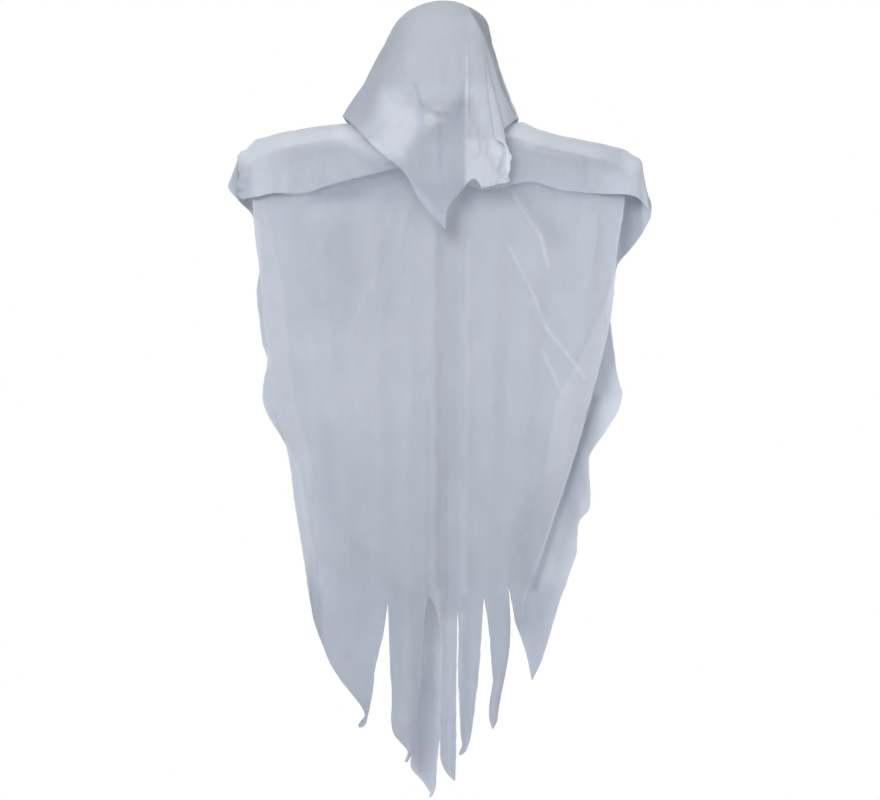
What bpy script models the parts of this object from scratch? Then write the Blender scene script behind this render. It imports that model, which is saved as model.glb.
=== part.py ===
"""Hanging ghost decoration.

A foam head sits on a wire stem. The stem hooks under a bent arm wire that carries two soft arm
pads. Three sheets of thin cloth hang on it: a front panel over the pads, a back sheet that is
folded over the pads into two short shoulder flaps, and a veil draped over the head. The lower
hem of both panels is slit into pointed strips.
Metres, +Z up, the front looks along -Y. The origin is the point on the crown where it hangs.
The outlines are lists of places seen from the front, as x and height above the neck, which is
where the stem hooks under the arm wire.
"""
import math

import bmesh
import bpy
import numpy as np

# Cloth
CLOTH_THICKNESS = 0.0008
LAYER_GAP = 0.0014

# Head form, an egg with its narrow end down
HEAD_WIDTH = 0.100
HEAD_HEIGHT = 0.137
HEAD_TAPER = 0.28
HEAD_STEPS = 20
HEAD_RINGS = 14
HEAD_SEAT_GAP = 0.0007
NECK_LENGTH = 0.0325

# Wires
STEM_RADIUS = 0.0015
ARM_WIRE_RADIUS = 0.0015
WIRE_CLEARANCE = 0.0003
EYE_RADIUS = 0.0036
EYE_TURN = math.radians(300)
EYE_POCKET_DEPTH = 0.014
EYE_POCKET_CLEARANCE = 0.0008
HOOK_TURN = math.radians(230)
HOOK_POINTS = 9

# The arm wire's route seen from the front: left end, neck, right end
ARM_ROUTE = (
    (-0.236, -0.027),
    (-0.226, -0.020),
    (-0.207, -0.013),
    (-0.175, -0.006),
    (-0.109, 0.002),
    (-0.050, 0.002),
    (0.000, 0.000),
    (0.050, 0.004),
    (0.090, 0.003),
    (0.122, -0.006),
    (0.181, -0.020),
    (0.209, -0.026),
    (0.228, -0.032),
    (0.237, -0.037),
)
ARM_STATION = 0.014

# Arm pads
PAD_RADIUS = 0.013
PAD_NECK_DISTANCE = 0.046
PAD_SIDES = 10
PAD_BORE_CLEARANCE = 0.0007
PAD_END_WALL = 0.005

# Neck tie, a band round the stem with its knot at the left
TIE_BAND_RADIUS = 0.0030
TIE_CLEARANCE = 0.0003
TIE_HEAD_GAP = 0.0005
KNOT_SIZE = (0.018, 0.012, 0.018)
KNOT_OFFSET = (-0.012, -0.004)

# Front panel seen from the front
FRONT_WRAP = math.radians(140)
FRONT_NECK_HALF_WIDTH = 0.030
FRONT_NECK_DROP = 0.014
NECKLINE_BAND = 0.006
FRONT_LEFT_EDGE = (
    (-0.235, -0.030),
    (-0.234, -0.084),
    (-0.230, -0.157),
    (-0.222, -0.215),
    (-0.215, -0.281),
    (-0.206, -0.341),
    (-0.194, -0.382),
    (-0.180, -0.465),
    (-0.164, -0.578),
)
FRONT_RIGHT_EDGE = (
    (0.232, -0.034),
    (0.231, -0.078),
    (0.222, -0.140),
    (0.215, -0.215),
    (0.190, -0.323),
    (0.172, -0.386),
    (0.155, -0.438),
    (0.140, -0.481),
    (0.121, -0.538),
)

# Back sheet seen from the front
BACK_LEFT_EDGE = (
    (-0.2535, -0.035),
    (-0.264, -0.058),
    (-0.236, -0.093),
    (-0.228, -0.157),
    (-0.230, -0.194),
    (-0.216, -0.280),
    (-0.221, -0.315),
    (-0.204, -0.363),
    (-0.178, -0.449),
    (-0.153, -0.577),
)
BACK_RIGHT_EDGE = (
    (0.2535, -0.043),
    (0.262, -0.078),
    (0.250, -0.122),
    (0.220, -0.157),
    (0.213, -0.215),
    (0.226, -0.322),
    (0.216, -0.353),
    (0.187, -0.396),
    (0.187, -0.455),
    (0.175, -0.478),
    (0.162, -0.541),
)
NECK_NOTCH_HALF_WIDTH = 0.029
NECK_NOTCH_BACK_ANGLE = math.radians(-55)

# Hem of the shoulder flaps, left to right
FLAP_HEM = (
    (-0.252, -0.076),
    (-0.234, -0.075),
    (-0.212, -0.070),
    (-0.169, -0.069),
    (-0.137, -0.059),
    (-0.087, -0.046),
    (-0.050, -0.038),
    (-0.029, -0.035),
    (0.000, -0.035),
    (0.029, -0.055),
    (0.050, -0.065),
    (0.075, -0.063),
    (0.112, -0.055),
    (0.150, -0.065),
    (0.200, -0.070),
    (0.250, -0.077),
    (0.262, -0.091),
)
FLAP_FLARE = 0.006

# Strips of the front hem: left edge and right edge from the slit's top down to the shared tip,
# then how far the tip leans out and how far the edges curl
FRONT_STRIPS = (
    (
        ((-0.164, -0.578), (-0.158, -0.603), (-0.149, -0.628), (-0.132, -0.665), (-0.112, -0.691),
         (-0.103, -0.706), (-0.097, -0.735)),
        ((-0.065, -0.577), (-0.071, -0.618), (-0.081, -0.662), (-0.089, -0.715), (-0.097, -0.735)),
        0.004, 0.006, 9,
    ),
    (
        ((-0.065, -0.577), (-0.062, -0.640), (-0.060, -0.693), (-0.060, -0.744), (-0.045, -0.780)),
        ((-0.006, -0.571), (-0.018, -0.589), (-0.020, -0.675), (-0.029, -0.728), (-0.029, -0.760),
         (-0.045, -0.780)),
        -0.004, -0.008, 5,
    ),
    (
        ((-0.006, -0.571), (0.001, -0.586), (0.001, -0.675), (0.000, -0.761), (0.005, -0.783),
         (0.019, -0.804)),
        ((0.022, -0.581), (0.021, -0.619), (0.020, -0.689), (0.019, -0.804)),
        0.003, 0.005, 3,
    ),
    (
        ((0.022, -0.581), (0.024, -0.619), (0.024, -0.679), (0.025, -0.729), (0.024, -0.772)),
        ((0.055, -0.574), (0.050, -0.640), (0.047, -0.674), (0.040, -0.728), (0.024, -0.772)),
        -0.003, 0.006, 3,
    ),
    (
        ((0.055, -0.574), (0.063, -0.631), (0.066, -0.675), (0.062, -0.715), (0.066, -0.738)),
        ((0.085, -0.555), (0.088, -0.596), (0.086, -0.636), (0.079, -0.684), (0.066, -0.738)),
        0.004, -0.006, 3,
    ),
    (
        ((0.085, -0.555), (0.092, -0.590), (0.099, -0.618)),
        ((0.121, -0.538), (0.107, -0.578), (0.099, -0.618)),
        0.000, 0.004, 4,
    ),
)

# Strips of the back hem, in the same way
BACK_STRIPS = (
    (
        ((-0.153, -0.577), (-0.142, -0.615), (-0.126, -0.653), (-0.100, -0.693)),
        ((-0.064, -0.577), (-0.073, -0.618), (-0.084, -0.659), (-0.100, -0.693)),
        0.003, 0.005, 9,
    ),
    (
        ((-0.064, -0.577), (-0.055, -0.649), (-0.045, -0.728), (-0.036, -0.775), (-0.033, -0.791),
         (-0.020, -0.807), (-0.010, -0.826)),
        ((0.001, -0.579), (0.002, -0.658), (0.000, -0.760), (-0.004, -0.798), (-0.010, -0.826)),
        -0.004, 0.006, 5,
    ),
    (
        ((0.001, -0.579), (0.004, -0.653), (0.008, -0.728), (0.015, -0.782)),
        ((0.022, -0.581), (0.020, -0.653), (0.019, -0.728), (0.015, -0.782)),
        0.004, 0.004, 3,
    ),
    (
        ((0.022, -0.581), (0.026, -0.640), (0.028, -0.703), (0.029, -0.751)),
        ((0.055, -0.574), (0.049, -0.640), (0.043, -0.703), (0.029, -0.751)),
        -0.004, -0.005, 3,
    ),
    (
        ((0.055, -0.574), (0.065, -0.631), (0.067, -0.675), (0.067, -0.713)),
        ((0.085, -0.555), (0.085, -0.628), (0.078, -0.678), (0.067, -0.713)),
        0.003, 0.005, 3,
    ),
    (
        ((0.085, -0.555), (0.096, -0.610), (0.109, -0.648), (0.116, -0.678)),
        ((0.162, -0.541), (0.150, -0.578), (0.135, -0.636), (0.116, -0.678)),
        0.004, -0.006, 5,
    ),
)
STRIP_ROWS = 5

# Hanging folds: where each ridge starts at the arms, where it ends at the slits, its half
# width and how far it stands out
FRONT_FOLDS = (
    (-0.222, -0.150, 0.018, 0.008),
    (-0.160, -0.112, 0.016, 0.007),
    (-0.085, -0.072, 0.014, 0.006),
    (-0.040, -0.040, 0.012, 0.005),
    (-0.004, -0.002, 0.009, 0.009),
    (0.026, 0.027, 0.009, 0.008),
    (0.072, 0.058, 0.014, 0.008),
    (0.130, 0.090, 0.016, 0.007),
    (0.200, 0.135, 0.018, 0.008),
)
BACK_FOLDS = (
    (-0.215, -0.140, 0.020, 0.009),
    (-0.140, -0.095, 0.017, 0.008),
    (-0.070, -0.050, 0.014, 0.007),
    (-0.015, -0.012, 0.012, 0.009),
    (0.050, 0.035, 0.014, 0.008),
    (0.115, 0.080, 0.016, 0.008),
    (0.205, 0.140, 0.020, 0.009),
)
FOLD_GROWTH = 0.10
PANEL_SPREAD = 0.012
SPREAD_LENGTH = 0.45
SLIT_LEVEL = -0.574
WRAP_ROWS = 7
ARM_ROWS = 4
PANEL_ROWS = 14
FLAP_ROWS = 4
EDGE_CROWDING = 0.3
WRAP_DROP = 0.030

# Veil: its hem in stretches that meet at sharp corners, as x, y and height above the neck,
# with the columns of each. It runs from the front tip to the left corner, round the back to
# the right corner, and back to the tip through a pleat of three layers.
VEIL_HEM = (
    (
        ((0.006, -0.066, -0.115), (-0.027, -0.068, -0.078), (-0.050, -0.062, -0.038),
         (-0.063, -0.058, -0.026), (-0.094, -0.044, 0.001), (-0.121, -0.008, 0.026)),
        10,
    ),
    (
        ((-0.121, -0.008, 0.026), (-0.112, 0.016, 0.020), (-0.086, 0.046, 0.001),
         (-0.045, 0.066, -0.037), (0.000, 0.070, -0.067)),
        8,
    ),
    (
        ((0.000, 0.070, -0.067), (0.045, 0.066, -0.037), (0.080, 0.046, 0.001),
         (0.097, 0.004, 0.025)),
        8,
    ),
    (((0.097, 0.004, 0.025), (0.086, -0.028, 0.013), (0.062, -0.036, 0.000), (0.032, -0.042, -0.004)), 4),
    (((0.032, -0.042, -0.004), (0.058, -0.046, -0.008), (0.086, -0.040, -0.054)), 3),
    (((0.086, -0.040, -0.054), (0.068, -0.055, -0.059), (0.051, -0.062, -0.064)), 4),
    (
        ((0.051, -0.062, -0.064), (0.044, -0.064, -0.053), (0.025, -0.066, -0.070),
         (0.010, -0.067, -0.088), (0.006, -0.066, -0.115)),
        6,
    ),
)
PLEAT_STRETCHES = (3, 4, 5)
PLEAT_GAP = 0.0016
PLEAT_OPENS = 0.35
VEIL_ROWS = 10
VEIL_CROWN_WIDENING = 1.15
VEIL_FLARE_POWER = 1.5
VEIL_ROW_POWER = 2.0
VEIL_FOLDS = 7
VEIL_FOLD_DEPTH = 0.004

# The numbers that follow from the sizes above
HOOK_RADIUS = STEM_RADIUS + WIRE_CLEARANCE + ARM_WIRE_RADIUS
ARM_DEPTH = HOOK_RADIUS
CROWN_HEIGHT = -CLOTH_THICKNESS / 2
HEAD_TOP = CROWN_HEIGHT - CLOTH_THICKNESS / 2 - HEAD_SEAT_GAP
FRONT_LAYER_RADIUS = PAD_RADIUS + LAYER_GAP + CLOTH_THICKNESS / 2
NECK_HEIGHT = HEAD_TOP - HEAD_HEIGHT - NECK_LENGTH
BACK_LAYER_RADIUS = FRONT_LAYER_RADIUS + CLOTH_THICKNESS + LAYER_GAP
FRONT = -1
BACK = 1


def smooth_curve(points, closed=False):
    """Returns a function of t, 0 to 1, that runs smoothly through an outline's points.

    It is a cubic between each two points whose slopes come from their neighbours, and t
    measures the straight distance along the points. The last number of a point is its height
    above the neck, and the function gives it as a height in the part's own frame.
    """
    knots = np.array(points, dtype=float)
    knots[:, -1] += NECK_HEIGHT
    if closed:
        knots = np.vstack([knots, knots[:1]])
    lengths = np.linalg.norm(np.diff(knots, axis=0), axis=1)
    stations = np.concatenate([[0.0], np.cumsum(lengths)])
    stations /= stations[-1]
    slopes = np.gradient(knots, stations, axis=0)
    if closed:
        before = stations[1] - stations[0]
        after = stations[-1] - stations[-2]
        joint = (knots[1] - knots[-2]) / (before + after)
        slopes[0] = joint
        slopes[-1] = joint

    def point_at(t):
        t = np.asarray(t, dtype=float)
        i = np.clip(np.searchsorted(stations, t, side="right") - 1, 0, len(knots) - 2)
        span = (stations[i + 1] - stations[i])[..., None]
        q = (t - stations[i])[..., None] / span
        a = (2 * q**3 - 3 * q**2 + 1) * knots[i]
        b = (q**3 - 2 * q**2 + q) * span * slopes[i]
        c = (-2 * q**3 + 3 * q**2) * knots[i + 1]
        d = (q**3 - q**2) * span * slopes[i + 1]
        return a + b + c + d

    return point_at


ARM_CURVE = smooth_curve(ARM_ROUTE)
ARM_SAMPLES = ARM_CURVE(np.linspace(0, 1, 400))
ARM_SAMPLE_LENGTHS = np.concatenate(
    [[0.0], np.cumsum(np.linalg.norm(np.diff(ARM_SAMPLES, axis=0), axis=1))]
)
ARM_LENGTH = ARM_SAMPLE_LENGTHS[-1]
ARM_LEFT_END = ARM_ROUTE[0][0]
ARM_RIGHT_END = ARM_ROUTE[-1][0]


def arm_point(length):
    """The arm wire's axis (x, z) at a length along it from its left end."""
    x = np.interp(length, ARM_SAMPLE_LENGTHS, ARM_SAMPLES[:, 0])
    z = np.interp(length, ARM_SAMPLE_LENGTHS, ARM_SAMPLES[:, 1])
    return np.stack([x, z], axis=-1)


def arm_height(x):
    """The height of the arm wire's axis at x, level beyond its ends."""
    return np.interp(x, ARM_SAMPLES[:, 0], ARM_SAMPLES[:, 1])


def arm_lift(x):
    """How much further above the sloping wire a layer lies than its own radius."""
    slopes = np.gradient(ARM_SAMPLES[:, 1], ARM_SAMPLES[:, 0])
    return np.sqrt(1 + np.interp(x, ARM_SAMPLES[:, 0], slopes) ** 2)


def arm_length_at(x):
    """The length along the arm wire at which it passes x."""
    return float(np.interp(x, ARM_SAMPLES[:, 0], ARM_SAMPLE_LENGTHS))


def layer_radius(x, radius):
    """The cloth's radius round the arm axis: full along the pad, closing over its round end."""
    beyond = np.maximum(np.maximum(ARM_LEFT_END - x, x - ARM_RIGHT_END), 0.0)
    return np.sqrt(np.maximum(radius**2 - beyond**2, (0.25 * radius) ** 2))


def fold_height(x, z, folds):
    """How far the hanging folds stand out at (x, z): a sum of bell-shaped ridges."""
    drop = np.maximum(arm_height(x) - z, 0.0)
    down = np.clip(drop / -SLIT_LEVEL, 0.0, 1.3)
    height = np.zeros_like(drop)
    for at_arms, at_slits, width, depth in folds:
        centre = at_arms + (at_slits - at_arms) * down
        height = height + depth * np.exp(-(((x - centre) / width) ** 2))
    return height * (1 - np.exp(-drop / FOLD_GROWTH))


def panel_depth(x, z, radius, folds):
    """How far a hanging panel stands off the arm axis at (x, z)."""
    drop = np.maximum(arm_height(x) - z, 0.0)
    spread = PANEL_SPREAD * np.minimum(drop / SPREAD_LENGTH, 1.0)
    return layer_radius(x, radius) + spread + fold_height(x, z, folds)


def edge_at(outline, heights):
    """The x of a side edge at each height, smooth through the outline's points."""
    samples = smooth_curve(outline)(np.linspace(0, 1, 200))
    return np.interp(-heights, -samples[:, 1], samples[:, 0])


def slit_line(strips):
    """The points of the line that joins the slits' tops, one for each column."""
    pieces = []
    for left, right, _, _, columns in strips:
        across = np.linspace(0, 1, columns + 1)[:, None]
        piece = (1 - across) * np.array(left[0]) + across * np.array(right[0])
        pieces.append(piece[:-1])
    pieces.append(np.array([strips[-1][1][0]]))
    return np.vstack(pieces) + np.array([0.0, NECK_HEIGHT])


def spread_columns(left, right, count):
    """Column places along the arms, closer together at both ends."""
    even = np.linspace(0, 1, count)
    share = even - EDGE_CROWDING * np.sin(2 * math.pi * even) / (2 * math.pi)
    return left + (right - left) * share


def hanging_rows(arm_x, slits, left_outline, right_outline, start_drop, side, radius, folds):
    """Rows of points of a panel from just below the arms down to the slits' tops.

    Across, a point keeps its share of the width, which changes from its share at the arms to
    its share at the slits. Down, it runs straight from its place at the arms to its slit line.
    """
    top = arm_height(arm_x) - start_drop
    share_top = (arm_x - arm_x[0]) / (arm_x[-1] - arm_x[0])
    share_low = (slits[:, 0] - slits[0, 0]) / (slits[-1, 0] - slits[0, 0])
    rows = []
    for down in np.linspace(0, 1, PANEL_ROWS + 1):
        z = (1 - down) * top + down * slits[:, 1]
        share = (1 - down) * share_top + down * share_low
        left = edge_at(left_outline, z[:1])
        right = edge_at(right_outline, z[-1:])
        x = (1 - share) * left + share * right
        y = ARM_DEPTH + side * panel_depth(x, z, radius, folds)
        rows.append(np.stack([x, y, z], axis=1))
    rows[-1][:, 0] = slits[:, 0]
    return rows


def sheet_mesh(name, rows, strips, side, radius, folds, missing=None):
    """Makes a sheet from its rows of points, and hangs its strips on the last row.

    A strip's point lies between its left and its right edge, which both run to the tip. The
    strips stand apart below the line of the slits' tops, and missing names the cells that are
    cut out of the sheet.
    """
    mesh = bmesh.new()
    grid = [[mesh.verts.new(point) for point in row] for row in rows]
    for i in range(len(grid) - 1):
        for j in range(len(grid[0]) - 1):
            if missing is not None and missing[i, j]:
                continue
            mesh.faces.new((grid[i][j], grid[i + 1][j], grid[i + 1][j + 1], grid[i][j + 1]))
    first = 0
    for left, right, lean, curl, columns in strips:
        above = grid[-1][first:first + columns + 1]
        first += columns
        left_edge = smooth_curve(left)
        right_edge = smooth_curve(right)
        for row in range(1, STRIP_ROWS):
            down = row / STRIP_ROWS
            across = np.linspace(0, 1, columns + 1)
            flat = (1 - across[:, None]) * left_edge(down) + across[:, None] * right_edge(down)
            y = ARM_DEPTH + side * panel_depth(flat[:, 0], flat[:, 1], radius, folds)
            y = y + side * (lean * down + curl * down * (2 * across - 1) ** 2)
            below = [mesh.verts.new((p[0], q, p[1])) for p, q in zip(flat, y)]
            for j in range(columns):
                mesh.faces.new((above[j], below[j], below[j + 1], above[j + 1]))
            above = below
        tip_x, tip_z = left_edge(1.0)
        tip_y = ARM_DEPTH + side * (panel_depth(tip_x, tip_z, radius, folds) + lean)
        tip = mesh.verts.new((tip_x, tip_y, tip_z))
        for j in range(columns):
            mesh.faces.new((above[j], tip, above[j + 1]))
    loose = [vert for vert in mesh.verts if not vert.link_faces]
    bmesh.ops.delete(mesh, geom=loose, context="VERTS")
    return finish_cloth(name, mesh)


def finish_cloth(name, mesh):
    """Turns an open surface into a cloth object with its real thickness."""
    data = bpy.data.meshes.new(name)
    mesh.to_mesh(data)
    mesh.free()
    data.shade_smooth()
    cloth = bpy.data.objects.new(name, data)
    wall = cloth.modifiers.new("cloth_thickness", "SOLIDIFY")
    wall.thickness = CLOTH_THICKNESS
    wall.offset = 0
    return cloth


def make_robe_front():
    """The front panel: over the pads from behind, a low neckline, and six hem strips."""
    slits = slit_line(FRONT_STRIPS)
    arm_x = spread_columns(FRONT_LEFT_EDGE[0][0], FRONT_RIGHT_EDGE[0][0], len(slits))
    radius = FRONT_LAYER_RADIUS
    neck = np.exp(-((arm_x / FRONT_NECK_HALF_WIDTH) ** 4))
    start = -FRONT_WRAP * radius * (1 - neck) + FRONT_NECK_DROP * neck
    lifted = radius * arm_lift(arm_x)
    arc_end = (FRONT_NECK_DROP + NECKLINE_BAND) * neck
    over_arm = [start + (arc_end - start) * k / WRAP_ROWS for k in range(WRAP_ROWS)]
    below_arm = [arc_end + (WRAP_DROP - arc_end) * k / 2 for k in range(2)]
    rows = []
    for path in over_arm + below_arm:
        angle = np.minimum(path, 0.0) / radius
        y = ARM_DEPTH - radius * np.cos(angle)
        z = arm_height(arm_x) - lifted * np.sin(angle) - np.maximum(path, 0.0)
        y = np.where(path > 0, ARM_DEPTH - panel_depth(arm_x, z, radius, FRONT_FOLDS), y)
        rows.append(np.stack([arm_x, y, z], axis=1))
    rows += hanging_rows(
        arm_x, slits, FRONT_LEFT_EDGE, FRONT_RIGHT_EDGE, WRAP_DROP, FRONT, radius, FRONT_FOLDS
    )
    return sheet_mesh("robe_front", rows, FRONT_STRIPS, FRONT, radius, FRONT_FOLDS)


def make_robe_back():
    """The back sheet: two flaps in front, folded over the pads, and six hem strips behind."""
    slits = slit_line(BACK_STRIPS)
    arm_x = spread_columns(BACK_LEFT_EDGE[0][0], BACK_RIGHT_EDGE[0][0], len(slits))
    radius = BACK_LAYER_RADIUS
    hem = smooth_curve(FLAP_HEM)(np.linspace(0, 1, 300))
    share = (arm_x - arm_x[0]) / (arm_x[-1] - arm_x[0])
    hem_x = FLAP_HEM[0][0] + (FLAP_HEM[-1][0] - FLAP_HEM[0][0]) * share
    hem_z = np.interp(hem_x, hem[:, 0], hem[:, 1])
    rows = []
    for up in np.linspace(0, 1, FLAP_ROWS + 1)[:-1]:
        z = (1 - up) * hem_z + up * arm_height(arm_x)
        x = (1 - up) * hem_x + up * arm_x
        depth = panel_depth(x, z, radius, FRONT_FOLDS) + FLAP_FLARE * (1 - up)
        rows.append(np.stack([x, ARM_DEPTH - depth, z], axis=1))
    angles = np.linspace(math.pi / 2, -math.pi / 2, 2 * ARM_ROWS + 1)
    local = layer_radius(arm_x, radius)
    lifted = local * arm_lift(arm_x)
    for angle in angles:
        y = ARM_DEPTH - local * math.sin(angle)
        z = arm_height(arm_x) + lifted * math.cos(angle)
        rows.append(np.stack([arm_x, y, z], axis=1))
    rows += hanging_rows(
        arm_x, slits, BACK_LEFT_EDGE, BACK_RIGHT_EDGE, WRAP_DROP, BACK, radius, BACK_FOLDS
    )
    missing = np.zeros((len(rows) - 1, len(arm_x) - 1), dtype=bool)
    middle = (arm_x[1:] + arm_x[:-1]) / 2
    at_neck = np.abs(middle) < NECK_NOTCH_HALF_WIDTH
    last_cut = FLAP_ROWS + int(np.sum(angles > NECK_NOTCH_BACK_ANGLE))
    missing[:last_cut, at_neck] = True
    return sheet_mesh("robe_back", rows, BACK_STRIPS, BACK, radius, BACK_FOLDS, missing)


def smooth_step(t):
    t = np.clip(t, 0.0, 1.0)
    return t * t * (3 - 2 * t)


def make_veil():
    """The veil: a dome over the head that opens like a tent down to its pointed hem.

    Along each line from the crown to the hem the height falls with a power of the distance.
    The line's distance from the axis is a round crown's, plus a share of the hem's reach. Its
    bearing is even round the crown and turns into the hem's own, which doubles back twice in
    the pleat, whose layers lie a small gap apart.
    """
    hem = np.vstack([
        smooth_curve(points)(np.linspace(0, 1, columns, endpoint=False))
        for points, columns in VEIL_HEM
    ])
    ends = np.cumsum([columns for _, columns in VEIL_HEM])
    count = ends[-1]
    reach = np.hypot(hem[:, 0], hem[:, 1])
    hem_bearing = np.unwrap(np.arctan2(hem[:, 0], -hem[:, 1]))
    even_bearing = hem_bearing[0] - 2 * math.pi * np.arange(count) / count
    crown_radius = HEAD_WIDTH / 2
    back, middle, front = (ends[i] - VEIL_HEM[i][1] / 2 for i in PLEAT_STRETCHES)
    layer = np.interp(
        np.arange(count),
        (ends[PLEAT_STRETCHES[0] - 1], back, middle, front, count),
        (0.0, -1.0, 0.0, 1.0, 0.0),
    )

    def crown_reach(depth):
        capped = np.minimum(depth, crown_radius)
        return VEIL_CROWN_WIDENING * np.sqrt(crown_radius**2 - (crown_radius - capped) ** 2)

    mesh = bmesh.new()
    pole = mesh.verts.new((0, 0, CROWN_HEIGHT))
    rings = []
    for row in range(1, VEIL_ROWS + 1):
        share = row / VEIL_ROWS
        down = share**VEIL_ROW_POWER
        depth = (CROWN_HEIGHT - hem[:, 2]) * down
        opened = smooth_step(share / PLEAT_OPENS)
        bearing = (1 - opened) * even_bearing + opened * hem_bearing
        ring_reach = crown_reach(depth) + PLEAT_GAP * layer * opened
        ring_reach += (reach - crown_reach(CROWN_HEIGHT - hem[:, 2])) * down**VEIL_FLARE_POWER
        ring_reach += VEIL_FOLD_DEPTH * down * np.cos(VEIL_FOLDS * even_bearing)
        x = np.sin(bearing) * ring_reach
        y = -np.cos(bearing) * ring_reach
        z = CROWN_HEIGHT - depth
        rings.append([mesh.verts.new(point) for point in zip(x, y, z)])
    for j in range(count):
        k = (j + 1) % count
        mesh.faces.new((pole, rings[0][j], rings[0][k]))
        for above, below in zip(rings[:-1], rings[1:]):
            mesh.faces.new((above[j], below[j], below[k], above[k]))
    return finish_cloth("head_veil", mesh)


def make_head():
    """The foam head: an egg turned about the stem, with its bore and a pocket for the eye."""
    bore = STEM_RADIUS + WIRE_CLEARANCE
    pocket = EYE_RADIUS + STEM_RADIUS + EYE_POCKET_CLEARANCE
    turn = np.linspace(0, math.pi, 400)
    reach = HEAD_WIDTH / 2 * np.sin(turn) * (1 + HEAD_TAPER * np.cos(turn))
    reach *= HEAD_WIDTH / 2 / reach.max()
    height = HEAD_TOP - HEAD_HEIGHT / 2 * (1 - np.cos(turn))
    widest = int(np.argmax(reach))
    first = int(np.argmax(reach > pocket))
    last = widest + int(np.argmax(reach[widest:] < bore + 0.004))
    picks = np.linspace(first, last, HEAD_RINGS).astype(int)
    outer = [(float(reach[i]), float(height[i])) for i in picks]
    pocket_floor = HEAD_TOP - EYE_POCKET_DEPTH
    inner = [(bore, outer[-1][1]), (bore, pocket_floor), (pocket, pocket_floor)]
    profile = outer + inner
    mesh = bmesh.new()
    verts = [mesh.verts.new((r, 0, z)) for r, z in profile]
    for i in range(len(verts)):
        mesh.edges.new((verts[i], verts[(i + 1) % len(verts)]))
    data = bpy.data.meshes.new("head_form")
    mesh.to_mesh(data)
    mesh.free()
    head = bpy.data.objects.new("head_form", data)
    turned = head.modifiers.new("turned", "SCREW")
    turned.steps = HEAD_STEPS
    turned.render_steps = HEAD_STEPS
    turned.use_merge_vertices = True
    turned.merge_threshold = 0.0001
    return head


def wire_object(name, points, radius):
    """A round wire along a list of points."""
    curve = bpy.data.curves.new(name, "CURVE")
    curve.dimensions = "3D"
    curve.bevel_depth = radius
    curve.bevel_resolution = 2
    curve.use_fill_caps = True
    spline = curve.splines.new("POLY")
    spline.points.add(len(points) - 1)
    for target, point in zip(spline.points, points):
        target.co = (*point, 1.0)
    return bpy.data.objects.new(name, curve)


def make_stem():
    """The stem wire: an open eye at the top, straight down, and a hook under the arm wire."""
    eye_centre = HEAD_TOP - EYE_RADIUS - STEM_RADIUS
    low = float(arm_height(0.0))
    points = []
    for angle in np.linspace(EYE_TURN, 0, HOOK_POINTS):
        x = -EYE_RADIUS * math.sin(angle)
        z = eye_centre - EYE_RADIUS * math.cos(angle)
        points.append((x, 0.0, z))
    points.append((0.0, 0.0, low + HOOK_RADIUS))
    for angle in np.linspace(0, HOOK_TURN, HOOK_POINTS):
        y = HOOK_RADIUS - HOOK_RADIUS * math.cos(angle)
        z = low - HOOK_RADIUS * math.sin(angle)
        points.append((0.0, y, z))
    return wire_object("stem_wire", points, STEM_RADIUS)


def make_arm_wire():
    """The bent wire that carries both pads."""
    count = int(round(ARM_LENGTH / ARM_STATION)) + 1
    points = [(p[0], ARM_DEPTH, p[1]) for p in arm_point(np.linspace(0, ARM_LENGTH, count))]
    return wire_object("arm_wire", points, ARM_WIRE_RADIUS)


def make_pad(name, start, end):
    """A soft tube along the arm wire from its neck end to its round outer end.

    Its section is a closed profile of lengths and radii: out along the skin to the round end's
    pole, and back along the bore. Each profile point becomes a ring about the wire's axis.
    """
    bore = ARM_WIRE_RADIUS + PAD_BORE_CLEARANCE
    length = abs(end - start)
    direction = 1 if end > start else -1
    rings = int(round(length / ARM_STATION))
    stations = np.linspace(0, length, rings + 1)
    profile = [(0.0, bore), (0.0, PAD_RADIUS * 0.7), (PAD_RADIUS * 0.3, PAD_RADIUS)]
    profile += [(s, PAD_RADIUS) for s in stations[1:]]
    for angle in np.linspace(0, math.pi / 2, 5)[1:-1]:
        profile.append((length + PAD_RADIUS * math.sin(angle), PAD_RADIUS * math.cos(angle)))
    mesh = bmesh.new()

    def place(s):
        inside = min(s, length)
        at = arm_point(start + direction * inside)
        near = arm_point(start + direction * (inside - 0.001))
        tangent = (at - near) / np.linalg.norm(at - near)
        return at + tangent * (s - inside), tangent

    def ring(s, radius):
        centre, tangent = place(s)
        normal = np.array([-tangent[1], tangent[0]])
        verts = []
        for k in range(PAD_SIDES):
            angle = 2 * math.pi * k / PAD_SIDES
            flat = centre + radius * math.cos(angle) * normal
            verts.append(mesh.verts.new((flat[0], ARM_DEPTH + radius * math.sin(angle), flat[1])))
        return verts

    def join(one, two):
        for k in range(PAD_SIDES):
            m = (k + 1) % PAD_SIDES
            mesh.faces.new((one[k], one[m], two[m], two[k]))

    def close(verts, s):
        centre, _ = place(s)
        pole = mesh.verts.new((centre[0], ARM_DEPTH, centre[1]))
        for k in range(PAD_SIDES):
            mesh.faces.new((verts[k], verts[(k + 1) % PAD_SIDES], pole))

    skin = [ring(s, r) for s, r in profile]
    for one, two in zip(skin[:-1], skin[1:]):
        join(one, two)
    close(skin[-1], length + PAD_RADIUS)
    hollow = [skin[0]] + [ring(s, bore) for s in stations[1:]] + [ring(length + PAD_END_WALL, bore)]
    for one, two in zip(hollow[:-1], hollow[1:]):
        join(one, two)
    close(hollow[-1], length + PAD_END_WALL)
    bmesh.ops.recalc_face_normals(mesh, faces=mesh.faces)
    data = bpy.data.meshes.new(name)
    mesh.to_mesh(data)
    mesh.free()
    return bpy.data.objects.new(name, data)


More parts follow.
